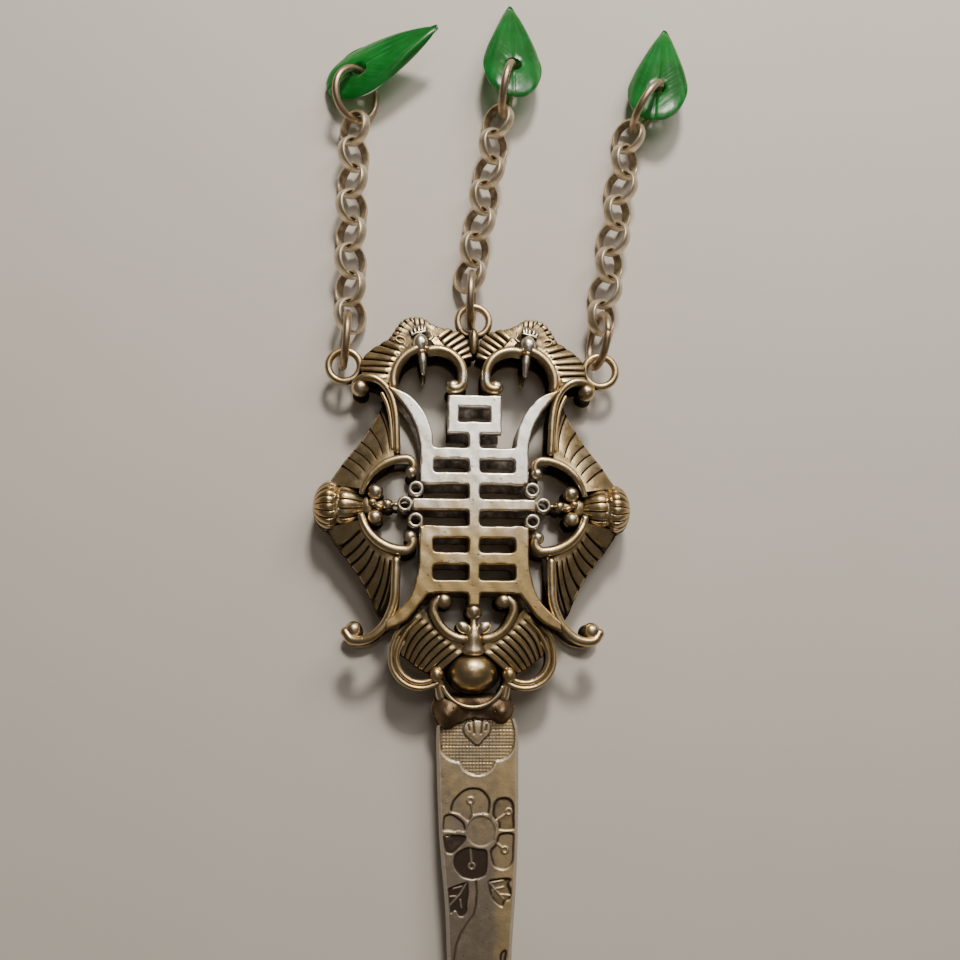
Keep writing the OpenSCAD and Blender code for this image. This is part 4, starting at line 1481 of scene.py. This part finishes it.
@dataclass
class Chain:
    """One chain of round links with a wide band, and the rings at its two ends."""

    lie: ChainLie
    pitch: float = 4.34
    link_d: float = 5.7
    link_t: float = 0.5
    link_w: float = 1.4
    ring_d: float = 9.0
    wire: float = 1.15

    def link(self, k: int) -> Surface:
        """Link k: a band flat inside and rounded outside, leaning to one side.

        Args:
            k: the link's number from the head, from 0.

        Returns:
            The link in its place.
        """
        at = np.array([*self.lie.first, 0.0])
        for n in range(1, k + 1):
            a = math.radians(self.lie.heading + self.lie.turn * (n - 0.5))
            at += self.pitch * np.array([math.cos(a), math.sin(a), 0.0])
        half, r = self.link_w / 2, self.link_d / 2
        at[2] = (r + half) * math.sin(math.radians(abs(self.lie.lean))) + FLOOR_GAP
        t = np.radians(np.linspace(-90, 90, 11))
        outer = [(r - 0.16 * (1 - math.cos(a)), half * math.sin(a)) for a in t]
        hole = r - self.link_t
        eased, near_rim = hole + 0.06, half * 0.9
        inner = [(eased, half), (hole, near_rim), (hole, 0.0), (hole, -near_rim), (eased, -half)]
        wear_and_sheen = band(outer + inner, (0, 0), 56)
        away = np.hypot(wear_and_sheen.points[:, 0], wear_and_sheen.points[:, 1])
        # Patina and painted shade inside the hole, where the next link sits; wear on the outer rim.
        wear_and_sheen.cut = 0.5 * smooth(hole + 0.15, hole, away) - 0.35 * smooth(r - 0.08, r, away)
        lean = self.lie.lean if k % 2 == 0 else -self.lie.lean
        heading = self.lie.heading + self.lie.turn * k
        return wear_and_sheen.moved(turn_about(Z_AXIS, heading) @ turn_about(X_AXIS, lean), at)

    def ring(self, place: tuple, cut_at: float, gap: float) -> Surface:
        """Open ring of round wire whose two cut ends nearly meet.

        Args:
            place: middle in plan, heading and lean of the ring.
            cut_at: where the ends meet, in degrees round the ring.
            gap: width of the gap between the ends.

        Returns:
            The ring.
        """
        (x, y), heading, lean = place
        r, w = (self.ring_d - self.wire) / 2, self.wire / 2
        half = math.degrees(gap / 2 / r)
        a = np.radians(np.linspace(cut_at + half, cut_at + 360 - half, 72))
        t = np.linspace(0, 2 * np.pi, 18, endpoint=False)
        scale = np.ones(72)
        scale[[0, -1]] = 0.86
        out = r + w * scale[:, None] * np.cos(t)
        rise = w * scale[:, None] * np.sin(t)
        points = np.stack([out * np.cos(a)[:, None], out * np.sin(a)[:, None], rise], -1)
        ends = [r * np.array([math.cos(b), math.sin(b), 0.0]) for b in (a[0], a[-1])]
        z = r * math.cos(math.radians(lean)) + w + FLOOR_GAP
        turned = turn_about(Z_AXIS, heading) @ turn_about(X_AXIS, 90 + lean)
        return capped(points.reshape(-1, 3), 72, 18, ends).moved(turned, np.array([x, y, z]))


@dataclass
class LeafBead:
    """Pressed glass leaf, pierced near its base, with pressed veins.

    side is half the outline in shares of the length and the width, seen from the hole.
    across_r and along_r are the radii of the arcs that bound its thickness.
    """

    place: tuple
    length: float = 20.0
    width: float = 9.3
    thickness: float = 2.4
    hole: float = 2.6
    across_r: float = 13.0
    along_r: float = 60.0
    vein_step: float = 2.1
    tip_share: float = 0.72
    lines: tuple = (-0.27, -0.13, 0.06, 0.19, 0.3)
    side: tuple = (
        (-0.3, 0.0), (-0.28, 0.2), (-0.17, 0.4), (0, 0.5), (0.19, 0.43), (0.41, 0.26), (0.61, 0.11),
        (0.7, 0.0),
    )

    def faces(self, x: Array, y: Array, rim: Array) -> Array:
        """Half of the leaf's thickness at a place.

        Two wide arcs, one along and one across, both bound it, and it closes to an edge
        at the rim. A midrib and slanting side veins are pressed in as bell curves.

        Args:
            x: places along the leaf.
            y: places across it.
            rim: their distance from the outline.

        Returns:
            Half the thickness at each place.
        """
        across = self.thickness / 2 - self.across_r + np.sqrt(self.across_r**2 - y**2)
        along = self.thickness / 2 - self.along_r + np.sqrt(self.along_r**2 - (x - 3) ** 2)
        half = blended(across, along, 0.2) - 0.45 * np.exp(-rim / 0.35)
        off_hole = smooth(1.5, 2.4, np.hypot(x, y))
        vein = thread(y, 0.22) * off_hole
        slant = ((x + 2.2) - 0.9 * np.abs(y) - 0.07 * y**2) / self.vein_step % 1
        side = thread(np.abs(slant - 0.5), 0.09) * smooth(0.1, 0.5, np.abs(y)) * off_hole
        swell = 0.02 * np.cos(2 * np.pi * slant) * smooth(0.2, 1.2, np.abs(y))
        deep = np.maximum(0.12 * vein, 0.045 * side * smooth(0.5, 1.6, rim))
        return half - deep - swell * smooth(0.2, 1.0, rim) - 0.03 * self.streaks(x, y)

    def streaks(self, x: Array, y: Array) -> Array:
        """Long pale lines that meet at the tip: bell curves of the slope seen from there.

        Args:
            x: places along the leaf.
            y: places across it.

        Returns:
            The strength of the lines at each place.
        """
        slope = y / np.maximum(self.tip_share * self.length - x, 0.3)
        lines = np.maximum.reduce([thread(slope - k, 0.022) for k in self.lines])
        return lines * smooth(1.4, 4.0, np.hypot(x, y)) * smooth(13.6, 9.0, x)

    def build(self) -> Surface:
        """The leaf as a function of the turn round its hole and the share outwards.

        A point lies on the straight line from the hole's edge to the outline in its
        direction. The outline is one smooth half and its reflection.

        Returns:
            The closed leaf in its place.
        """
        half = spline(self.side, 90) * (self.length, self.width)
        whole = np.concatenate([half, (half * (1, -1))[-2:0:-1]])
        angle = np.unwrap(np.arctan2(whole[:, 1], whole[:, 0]))
        order = np.argsort(angle)
        turn = np.linspace(angle.min(), angle.min() + 2 * np.pi, 180, endpoint=False)
        far = np.hypot(whole[order, 0], whole[order, 1])
        reach = np.interp(turn, angle[order], far, period=2 * np.pi)
        share = np.sin(np.linspace(0, np.pi / 2, 26)) ** 0.9
        r = self.hole / 2 + share[:, None] * (reach - self.hole / 2)
        x, y = r * np.cos(turn), r * np.sin(turn)
        rim = (1 - share[:, None]) * (reach - self.hole / 2) * 0.7
        half_t = self.faces(x, y, rim)
        lip = 0.15 * np.exp(-((r - self.hole / 2) / 0.2))
        top, bottom = np.stack([x, y, half_t - lip], -1), np.stack([x, y, lip - half_t], -1)
        rings = np.concatenate([top, bottom[::-1]])
        points = rings.reshape(-1, 3)
        quads = grid_quads(len(rings), len(turn), True, True)
        (hx, hy, hz), heading, fall, roll = self.place
        turned = turn_about(Z_AXIS, heading) @ turn_about(Y_AXIS, fall) @ turn_about(X_AXIS, roll)
        pale = self.streaks(x, y)
        shade = np.concatenate([pale, pale[::-1]]).reshape(-1)
        skin = Surface(points, quads, NO_TRIS, shade).outward()
        return skin.moved(turned, np.array([hx, hy, hz]))


# Finishes


Socket = bpy.types.NodeSocket


class Graph:
    """Adds nodes to a tree and links them."""

    def __init__(self, tree: bpy.types.NodeTree) -> None:
        """Keeps the tree."""
        self.tree = tree

    def add(self, kind: str, **settings: object) -> bpy.types.Node:
        """Adds a node.

        Args:
            kind: the node's type.
            settings: its properties; a number or socket under inputs goes to that input.

        Returns:
            The node.
        """
        inputs = settings.pop("inputs", {})
        node = self.tree.nodes.new(kind)
        for name, value in settings.items():
            setattr(node, name, value)
        for name, value in inputs.items():
            if isinstance(value, Socket):
                self.tree.links.new(value, node.inputs[name])
            else:
                node.inputs[name].default_value = value
        return node

    def math(self, operation: str, a: object, b: object = 0.0, c: object = 0.0) -> Socket:
        """One step of arithmetic on numbers or sockets."""
        node = self.add("ShaderNodeMath", operation=operation, inputs={0: a, 1: b, 2: c})
        return node.outputs[0]

    def mix(self, share: object, a: object, b: object) -> Socket:
        """Colour between a and b."""
        node = self.add("ShaderNodeMix", data_type="RGBA", inputs={0: share, 6: a, 7: b})
        return node.outputs[2]

    def noise(self, at: object, scale: float, detail: float = 3.0, rough: float = 0.55) -> Socket:
        """Cloudy noise between 0 and 1.

        Args:
            at: the places that it is read at.
            scale: how many clouds there are per metre.
            detail: number of finer layers.
            rough: how strong the finer layers are.

        Returns:
            The noise's socket.
        """
        inputs = {"Vector": at, "Scale": scale, "Detail": detail, "Roughness": rough}
        node = self.add("ShaderNodeTexNoise", inputs=inputs)
        return node.outputs["Fac"]

    def ramp(
        self, value: object, low: float, high: float, to_low: float = 0.0, to_high: float = 1.0
    ) -> Socket:
        """Maps low..high to to_low..to_high, smoothly and without going past them.

        Args:
            value: the number or socket to map.
            low: the value that gives to_low.
            high: the value that gives to_high.
            to_low: the result at low.
            to_high: the result at high.

        Returns:
            The result's socket.
        """
        node = self.add(
            "ShaderNodeMapRange", interpolation_type="SMOOTHSTEP",
            inputs={0: value, 1: low, 2: high, 3: to_low, 4: to_high})
        return node.outputs[0]


def new_group(
    name: str, takes: dict[str, tuple], gives: dict[str, str]
) -> tuple[Graph, bpy.types.Node, bpy.types.Node]:
    """Makes an empty node group.

    Args:
        name: the group's name.
        takes: each input's name, with its socket type and first value.
        gives: each output's name, with its socket type.

    Returns:
        The graph, its input node and its output node.
    """
    tree = bpy.data.node_groups.new(name, "ShaderNodeTree")
    for label, (kind, value) in takes.items():
        socket = tree.interface.new_socket(label, in_out="INPUT", socket_type=kind)
        if value is not None:
            socket.default_value = value
    for label, kind in gives.items():
        tree.interface.new_socket(label, in_out="OUTPUT", socket_type=kind)
    graph = Graph(tree)
    return graph, graph.add("NodeGroupInput"), graph.add("NodeGroupOutput")


def patina_group() -> bpy.types.NodeTree:
    """Antiqued metal: open metal, warmer drifts, patina and painted shade, bright wear with painted
    highlights, and fine pits.

    Returns:
        The group, which gives a colour, a roughness, how metallic it is and a height.
    """
    f, c, v = "NodeSocketFloat", "NodeSocketColor", "NodeSocketVector"
    g, come, go = new_group(
        "antiqued_metal",
        {
            "Place": (v, None), "Shade_patina": (f, 0.0), "Wear_and_sheen": (f, 0.0),
            "Open": (c, (0.6, 0.55, 0.42, 1)), "Warm": (c, (0.5, 0.4, 0.22, 1)),
            "Shade_patina_colour": (c, (0.03, 0.02, 0.012, 1)), "Bright": (c, (0.9, 0.85, 0.72, 1)),
            "Warmth": (f, 0.5), "Pits": (f, 0.5), "Wear": (f, 0.8), "Drift": (f, 0.5), "Matte": (f, 0.0),
            "Silver from": (f, 1.0), "Gold under": (f, 0.9),
        },
        {"Colour": c, "Roughness": f, "Metal": f, "Height": f},
    )
    place = come.outputs["Place"]
    cloud = g.noise(place, 260, 4, 0.6)
    patch = g.noise(place, 900, 5, 0.62)
    grain = g.noise(place, 4200, 3, 0.6)
    cells = g.add("ShaderNodeTexVoronoi", feature="F1", inputs={"Vector": place, "Scale": 1300.0})
    dots = cells.outputs["Distance"]
    chance = g.noise(place, 700, 2, 0.5)
    dot = g.math("MULTIPLY", g.ramp(dots, 0.22, 0.06), g.ramp(chance, 0.44, 0.6))
    dot = g.math("MULTIPLY", dot, come.outputs["Pits"])
    warm = g.ramp(g.math("ADD", cloud, g.math("MULTIPLY", patch, 0.5)), 0.55, 0.95)
    own_warmth = g.math("MULTIPLY", come.outputs["Warmth"], 0.6)
    warm = g.math("MULTIPLY_ADD", warm, come.outputs["Drift"], own_warmth)
    y = g.add("ShaderNodeSeparateXYZ", inputs={0: place}).outputs["Y"]
    ends = {1: come.outputs["Silver from"], 2: come.outputs["Gold under"]}
    zone = g.add("ShaderNodeMapRange", inputs={0: y, **ends})
    warm = g.math("MULTIPLY_ADD", zone.outputs[0], 0.85, warm)
    base = g.mix(g.ramp(warm, 0.1, 0.9), come.outputs["Open"], come.outputs["Warm"])
    ragged = g.math("MULTIPLY_ADD", patch, 0.5, -0.25)
    # Patina and painted shade from the mask; further down it also roughens the metal and makes it less
    # metallic, so shaded places reflect less.
    shade = g.ramp(g.math("ADD", come.outputs["Shade_patina"], ragged), 0.1, 0.8)
    wear = g.ramp(g.math("ADD", come.outputs["Wear_and_sheen"], ragged), 0.2, 0.8)
    wear = g.math("MULTIPLY", wear, come.outputs["Wear"])
    # Wear, and the painted highlights on the blade's rims, lighten towards the bright colour.
    colour = g.mix(wear, base, come.outputs["Bright"])
    colour = g.mix(shade, colour, come.outputs["Shade_patina_colour"])
    speckle = g.math("MULTIPLY", g.ramp(grain, 0.52, 0.78), g.ramp(patch, 0.4, 0.6, 0.1, 0.5))
    spots = g.math("MAXIMUM", g.math("MULTIPLY", dot, 0.85), speckle)
    colour = g.mix(spots, colour, come.outputs["Shade_patina_colour"])
    rough = g.math("MULTIPLY_ADD", shade, 0.3, g.ramp(patch, 0.3, 0.7, 0.27, 0.4))
    rough = g.math("ADD", g.math("MULTIPLY_ADD", wear, -0.06, rough), come.outputs["Matte"])
    height = g.math("MULTIPLY_ADD", grain, 0.35, g.math("MULTIPLY", patch, 0.8))
    height = g.math("MULTIPLY_ADD", dot, -0.8, height)
    metal = g.math("MULTIPLY_ADD", shade, -0.55, 1.0)
    for name, socket in (("Colour", colour), ("Roughness", rough), ("Metal", metal), ("Height", height)):
        g.tree.links.new(socket, go.inputs[name])
    return g.tree


TOP_GOLD_AND_LIGHT = (-0.052, -0.036)
EDGE_GOLD_AND_LIGHT = (0.0022, 0.0042)
GILT_TIPS = (0.0082, 0.0122)


@dataclass(frozen=True)
class MetalFinish:
    """One antiqued metal: the colours and amounts that it gives the shared group.

    gold_and_light lets the warm, brighter colour grow towards the blade's right edge and its
    upper end, as a golden tone and painted light, and gilt_tips towards the ends of the lattice's
    arms. The places are in metres.
    """

    name: str
    slot: str
    open: tuple
    warm: tuple
    shade_patina_colour: tuple
    bright: tuple
    warmth: float
    pits: float
    wear: float
    bump: float = 0.25
    silver_from: float = -0.5
    gold_under: float = -0.6
    drift: float = 0.5
    matte: float = 0.08
    gold_and_light: bool = False
    gilt_tips: bool = False

    def material(self, group: bpy.types.NodeTree) -> bpy.types.Material:
        """Builds the material.

        Args:
            group: the antiqued metal group.

        Returns:
            A material that reads the pieces' patina and painted shade, and their wear and painted
            highlights.
        """
        made = bpy.data.materials.new(self.name)
        made.use_nodes = True
        made.node_tree.nodes.clear()
        g = Graph(made.node_tree)
        place = g.add("ShaderNodeTexCoord").outputs["Object"]
        shade_patina_streaks = g.add("ShaderNodeAttribute", attribute_name="shade_patina_streaks").outputs["Fac"]
        wear_and_sheen = g.add("ShaderNodeAttribute", attribute_name="wear_and_sheen").outputs["Fac"]
        warmth = self.warmth
        # Golden tone and painted light towards the blade's right edge and upper end.
        if self.gold_and_light:
            at = g.add("ShaderNodeSeparateXYZ", inputs={0: place}).outputs
            along = g.math("MULTIPLY", g.ramp(at["Y"], *TOP_GOLD_AND_LIGHT), 0.7)
            warmth = g.math("MAXIMUM", g.ramp(at["X"], *EDGE_GOLD_AND_LIGHT), along)
        if self.gilt_tips:
            at = g.add("ShaderNodeSeparateXYZ", inputs={0: place}).outputs
            warmth = g.ramp(g.math("ABSOLUTE", at["X"]), *GILT_TIPS, self.warmth, 1.2)
        look = g.add(
            "ShaderNodeGroup", node_tree=group,
            inputs={
                "Place": place, "Shade_patina": shade_patina_streaks, "Wear_and_sheen": wear_and_sheen,
                "Open": (*self.open, 1), "Warm": (*self.warm, 1),
                "Shade_patina_colour": (*self.shade_patina_colour, 1), "Bright": (*self.bright, 1),
                "Warmth": warmth, "Pits": self.pits, "Wear": self.wear,
                "Silver from": self.silver_from, "Gold under": self.gold_under,
                "Drift": self.drift, "Matte": self.matte,
            },
        )
        relief = {"Height": look.outputs["Height"], "Strength": self.bump, "Distance": 0.00012}
        bump = g.add("ShaderNodeBump", inputs=relief)
        surface = g.add(
            "ShaderNodeBsdfPrincipled",
            inputs={
                "Base Color": look.outputs["Colour"], "Roughness": look.outputs["Roughness"],
                "Metallic": look.outputs["Metal"], "Normal": bump.outputs["Normal"],
            },
        )
        out = g.add("ShaderNodeOutputMaterial")
        made.node_tree.links.new(surface.outputs["BSDF"], out.inputs["Surface"])
        return made


LATTICE_METAL = MetalFinish(
    "lattice_silver", "antique_metal",
    (0.92, 0.86, 0.77), (0.49, 0.345, 0.155), (0.035, 0.021, 0.011), (0.94, 0.89, 0.80), 0.04, 1.0, 0.4,
    silver_from=0.010, gold_under=-0.014, drift=0.3, matte=0.02, gilt_tips=True)
HEAD_METAL = MetalFinish(
    "cast_head", "antique_metal",
    (0.72, 0.56, 0.34), (0.53, 0.375, 0.175), (0.020, 0.011, 0.005), (0.96, 0.89, 0.74), 0.45, 0.5, 0.9,
    matte=0.0)
BLADE_METAL = MetalFinish(
    "stamped_blade", "antique_metal",
    (0.37, 0.30, 0.23), (0.66, 0.49, 0.26), (0.045, 0.027, 0.016), (0.92, 0.86, 0.74), 0.4, 0.5, 0.75,
    drift=0.25, matte=0.12, gold_and_light=True)
SOLDER_METAL = MetalFinish(
    "solder", "antique_metal",
    (0.21, 0.145, 0.09), (0.18, 0.115, 0.06), (0.018, 0.011, 0.006), (0.50, 0.38, 0.22), 0.5, 1.0, 0.3,
    bump=0.9, matte=0.16)
CHAIN_METAL = MetalFinish(
    "chain_band", "chain_metal",
    (0.78, 0.655, 0.47), (0.63, 0.49, 0.31), (0.10, 0.064, 0.036), (0.94, 0.87, 0.74), 0.3, 0.5, 0.7,
    matte=0.12)
RING_METAL = MetalFinish(
    "ring_wire", "ring_metal",
    (0.52, 0.41, 0.29), (0.40, 0.285, 0.175), (0.05, 0.032, 0.020), (0.80, 0.72, 0.58), 0.4, 0.5, 0.4)


@dataclass(frozen=True)
class LeafGlass:
    """Deep green pressed glass with pale streaks."""

    name: str = "leaf_glass"
    slot: str = "leaf_glass"
    deep: tuple = (0.006, 0.185, 0.016)
    clear: tuple = (0.014, 0.30, 0.038)
    pale: tuple = (0.09, 0.46, 0.16)

    def material(self) -> bpy.types.Material:
        """Builds the material.

        Returns:
            A material whose colour drifts slowly over the glass and pales on its streaks.
        """
        made = bpy.data.materials.new(self.name)
        made.use_nodes = True
        made.node_tree.nodes.clear()
        g = Graph(made.node_tree)
        place = g.add("ShaderNodeTexCoord").outputs["Object"]
        drift = g.noise(place, 180, 2, 0.5)
        colour = g.mix(g.ramp(drift, 0.35, 0.65), (*self.deep, 1), (*self.clear, 1))
        lines = g.add("ShaderNodeAttribute", attribute_name="shade_patina_streaks").outputs["Fac"]
        faint = g.ramp(g.noise(place, 420, 2), 0.35, 0.7, 0.05, 0.4)
        colour = g.mix(g.math("MULTIPLY", lines, faint), colour, (*self.pale, 1))
        fine = g.noise(place, 1500, 2, 0.5)
        bump = g.add("ShaderNodeBump", inputs={"Height": fine, "Strength": 0.12, "Distance": 0.0001})
        surface = g.add(
            "ShaderNodeBsdfPrincipled",
            inputs={
                "Base Color": colour, "Roughness": 0.3, "Metallic": 0.0, "IOR": 1.5,
                "Transmission Weight": 0.5, "Normal": bump.outputs["Normal"],
            },
        )
        out = g.add("ShaderNodeOutputMaterial")
        made.node_tree.links.new(surface.outputs["BSDF"], out.inputs["Surface"])
        return made


# Pieces


CREASE, FLAT_CREASE = 42.0, 60.0


@dataclass
class Workshop:
    """Turns surfaces into objects that ride on the frame."""

    relief: ReliefMap
    materials: dict[str, bpy.types.Material]

    def piece(
        self, name: str, surface: Surface, finish: MetalFinish | LeafGlass, node: str,
        relief: bool = False, crease: float = CREASE,
    ) -> None:
        """Makes one object from a surface.

        Args:
            name: the object's name.
            surface: its skin.
            finish: its finish.
            node: the frame's node that it stands for.
            relief: takes the patina, painted shade and wear values from the head's heights.
            crease: edges sharper than this many degrees stay sharp.
        """
        mesh = bpy.data.meshes.new(name)
        faces = surface.quads.tolist() + surface.tris.tolist()
        mesh.from_pydata((surface.points * MM).tolist(), [], faces)
        mesh.polygons.foreach_set("use_smooth", np.ones(len(faces), bool))
        mesh.set_sharp_from_angle(angle=math.radians(crease))
        if relief:
            shade_patina_streaks, wear_and_sheen = self.relief.shade(surface)
        else:
            # Otherwise cut gives patina and painted shade (a leaf's streaks), and wear with painted
            # highlights.
            shade_patina_streaks, wear_and_sheen = np.clip(surface.cut, 0, 1), np.clip(0.2 - surface.cut, 0, 1)
        for label, values in (("shade_patina_streaks", shade_patina_streaks), ("wear_and_sheen", wear_and_sheen)):
            layer = mesh.attributes.new(label, "FLOAT", "POINT")
            layer.data.foreach_set("value", np.asarray(values, np.float32))
        mesh.materials.append(self.materials[finish.name])
        obj = bpy.data.objects.new(name, mesh)
        bpy.context.scene.collection.objects.link(obj)
        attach(obj, "root")
        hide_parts(node)
        log.info("%s: %d points, %d faces", name, len(surface.points), len(faces))

    def chain(self, side: Side, lie: ChainLie, glass: LeafGlass) -> None:
        """Makes the links, the two rings and the leaf of one chain.

        Args:
            side: which chain it is.
            lie: how it lies.
            glass: the leaf's finish.
        """
        chain = Chain(lie)
        for k in range(lie.count):
            node = f"{side.value}_link_{k + 1}"
            self.piece(f"{node}_band", chain.link(k), CHAIN_METAL, node)
        for part, place, cut in (("jump", lie.jump, lie.jump_cut), ("drop", lie.drop, DROP_CUT)):
            node = f"{side.value}_{part}_ring"
            self.piece(f"{node}_wire", chain.ring(place, *cut), RING_METAL, node)
        node = f"{side.value}_leaf"
        self.piece(f"{node}_bead", LeafBead(lie.leaf).build(), glass, node)


@dataclass
class Head:
    """Both halves of the cast head, with its loops and the solder that holds the blade."""

    loop_places: tuple = ((18.85, 20.9), (-18.85, 20.9), (0.0, 28.15))
    loop_r: float = 2.32
    loop_wire: float = 0.55

    def chain_loops(self) -> Surface:
        """Casts the three rings that the chains hang from.

        Returns:
            The rings in one surface.
        """
        t = np.linspace(0, 2 * np.pi, 20, endpoint=False)
        out, rise = self.loop_wire * np.cos(t), self.loop_wire * np.sin(t)
        section = np.stack([self.loop_r + out, MID_Z + rise], 1)
        return joined([band(section, centre, 56) for centre in self.loop_places])

    def sub_assemblies(self) -> dict[str, tuple[Surface, MetalFinish]]:
        """Builds every piece of the head, front and back, in millimetres.

        Returns:
            Each piece's name, with its surface and finish.
        """
        side = SideBat()
        side_bat = joined(front_and_back(side.build()) + [side.body()])
        top_bat = joined(front_and_back(TopBat().build()))
        return {
            "lattice": (joined(front_and_back(Lattice().build())), LATTICE_METAL),
            "right_side_bat": (side_bat, HEAD_METAL),
            "left_side_bat": (side_bat.mirrored(X_AXIS), HEAD_METAL),
            "right_top_bat": (top_bat, HEAD_METAL),
            "left_top_bat": (top_bat.mirrored(X_AXIS), HEAD_METAL),
            "bottom_bat": (joined(front_and_back(BottomBat().build())), HEAD_METAL),
            "chain_loops": (self.chain_loops(), HEAD_METAL),
            "solder_joint": (joined(front_and_back([SolderJoint().build()])), SOLDER_METAL),
        }


# Studio


@dataclass
class Studio:
    """Pale floor, soft lights and the camera."""

    eye: tuple = (-9.973, -26.930, 159.908)
    right: tuple = (0.99748, 0.00187, 0.07089)
    up: tuple = (-0.01569, 0.98069, 0.19494)
    back: tuple = (-0.06915, -0.19556, 0.97825)
    focal_px: float = 1104.0
    frame_px: float = 960.0
    sensor: float = 36.0
    floor_half: float = 3.0

    def camera(self) -> None:
        """Camera at the photograph's place, with the lens from its focal length in pixels."""
        data = bpy.data.cameras.new("camera")
        data.sensor_width = self.sensor
        data.lens = self.sensor * self.focal_px / self.frame_px
        data.clip_start, data.clip_end = 0.005, 10.0
        cam = bpy.data.objects.new("camera", data)
        axes = zip(self.right, self.up, self.back)
        rows = [[*axis, place * MM] for axis, place in zip(axes, self.eye)]
        cam.matrix_world = Matrix([*rows, [0, 0, 0, 1]])
        bpy.context.scene.collection.objects.link(cam)
        bpy.context.scene.camera = cam

    def floor(self) -> None:
        """Pale floor under the stick, with a faint grain."""
        mesh = bpy.data.meshes.new("floor")
        s = self.floor_half
        mesh.from_pydata([(-s, -s, 0), (s, -s, 0), (s, s, 0), (-s, s, 0)], [], [(0, 1, 2, 3)])
        paper = bpy.data.materials.new("floor_paper")
        paper.use_nodes = True
        g = Graph(paper.node_tree)
        surface = paper.node_tree.nodes["Principled BSDF"]
        place = g.add("ShaderNodeTexCoord").outputs["Object"]
        tone = g.mix(g.noise(place, 40, 3), (0.67, 0.615, 0.54, 1), (0.71, 0.655, 0.58, 1))
        paper.node_tree.links.new(tone, surface.inputs["Base Color"])
        surface.inputs["Roughness"].default_value = 0.8
        mesh.materials.append(paper)
        floor = bpy.data.objects.new("floor", mesh)
        bpy.context.scene.collection.objects.link(floor)

    def light(
        self, name: str, place: tuple, aim: tuple, size: tuple, watts: float, colour: tuple
    ) -> None:
        """Adds a rectangular soft light.

        Args:
            name: its name.
            place: where it stands, in mm.
            aim: the point that it looks at, in mm.
            size: its two sides, in mm.
            watts: its power.
            colour: its colour.
        """
        data = bpy.data.lights.new(name, "AREA")
        data.shape = "RECTANGLE"
        data.size, data.size_y = size[0] * MM, size[1] * MM
        data.energy, data.color = watts, colour
        lamp = bpy.data.objects.new(name, data)
        away = unit(np.subtract(place, aim).astype(float))
        across = unit(np.cross([0.0, 1.0, 0.0], away))
        top = np.cross(away, across)
        rows = [[a, b, c, d * MM] for a, b, c, d in zip(across, top, away, place)]
        lamp.matrix_world = Matrix([*rows, [0, 0, 0, 1]])
        bpy.context.scene.collection.objects.link(lamp)

    def build(self) -> None:
        """Sets up the floor, the lights, the sky and the camera."""
        self.floor()
        self.camera()
        self.light("window", (150, 222, 245), (0, 0, 0), (200, 150), 0.5, (1.0, 0.965, 0.92))
        self.light("lamp", (28, 262, 258), (0, 5, 0), (60, 60), 1.0, (1.0, 0.95, 0.88))
        self.light("card", (19, 95, 345), (0, 10, 0), (84, 76), 0.105, (1.0, 0.97, 0.93))
        self.light("bounce", (70, -95, 270), (0, -20, 0), (150, 120), 0.02, (1.0, 0.88, 0.70))
        world = bpy.data.worlds.new("sky")
        world.use_nodes = True
        sky = world.node_tree.nodes["Background"]
        sky.inputs["Color"].default_value = (0.86, 0.80, 0.74, 1)
        sky.inputs["Strength"].default_value = 0.09
        bpy.context.scene.world = world


def main() -> None:
    """Builds the pieces round the frame, dresses them and sets up the studio."""
    logging.basicConfig(level=logging.INFO, format="%(name)s: %(message)s")
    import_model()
    head = Head().sub_assemblies()
    front = np.concatenate([s.points for s, _ in head.values()])
    relief = ReliefMap(front[front[:, 2] > MID_Z])
    group = patina_group()
    metals = (LATTICE_METAL, HEAD_METAL, BLADE_METAL, SOLDER_METAL, CHAIN_METAL, RING_METAL)
    materials = {m.name: m.material(group) for m in metals}
    glass = LeafGlass()
    materials[glass.name] = glass.material()
    shop = Workshop(relief, materials)
    for name, (surface, finish) in head.items():
        flat = finish is LATTICE_METAL
        crease = FLAT_CREASE if flat else CREASE
        shop.piece(name, surface, finish, "head_and_blade", relief=not flat, crease=crease)
    shop.piece("blade", Blade().build(), BLADE_METAL, "head_and_blade")
    for side, lie in CHAINS.items():
        shop.chain(side, lie, glass)
    Studio().build()


if __name__ == "__main__":
    main()
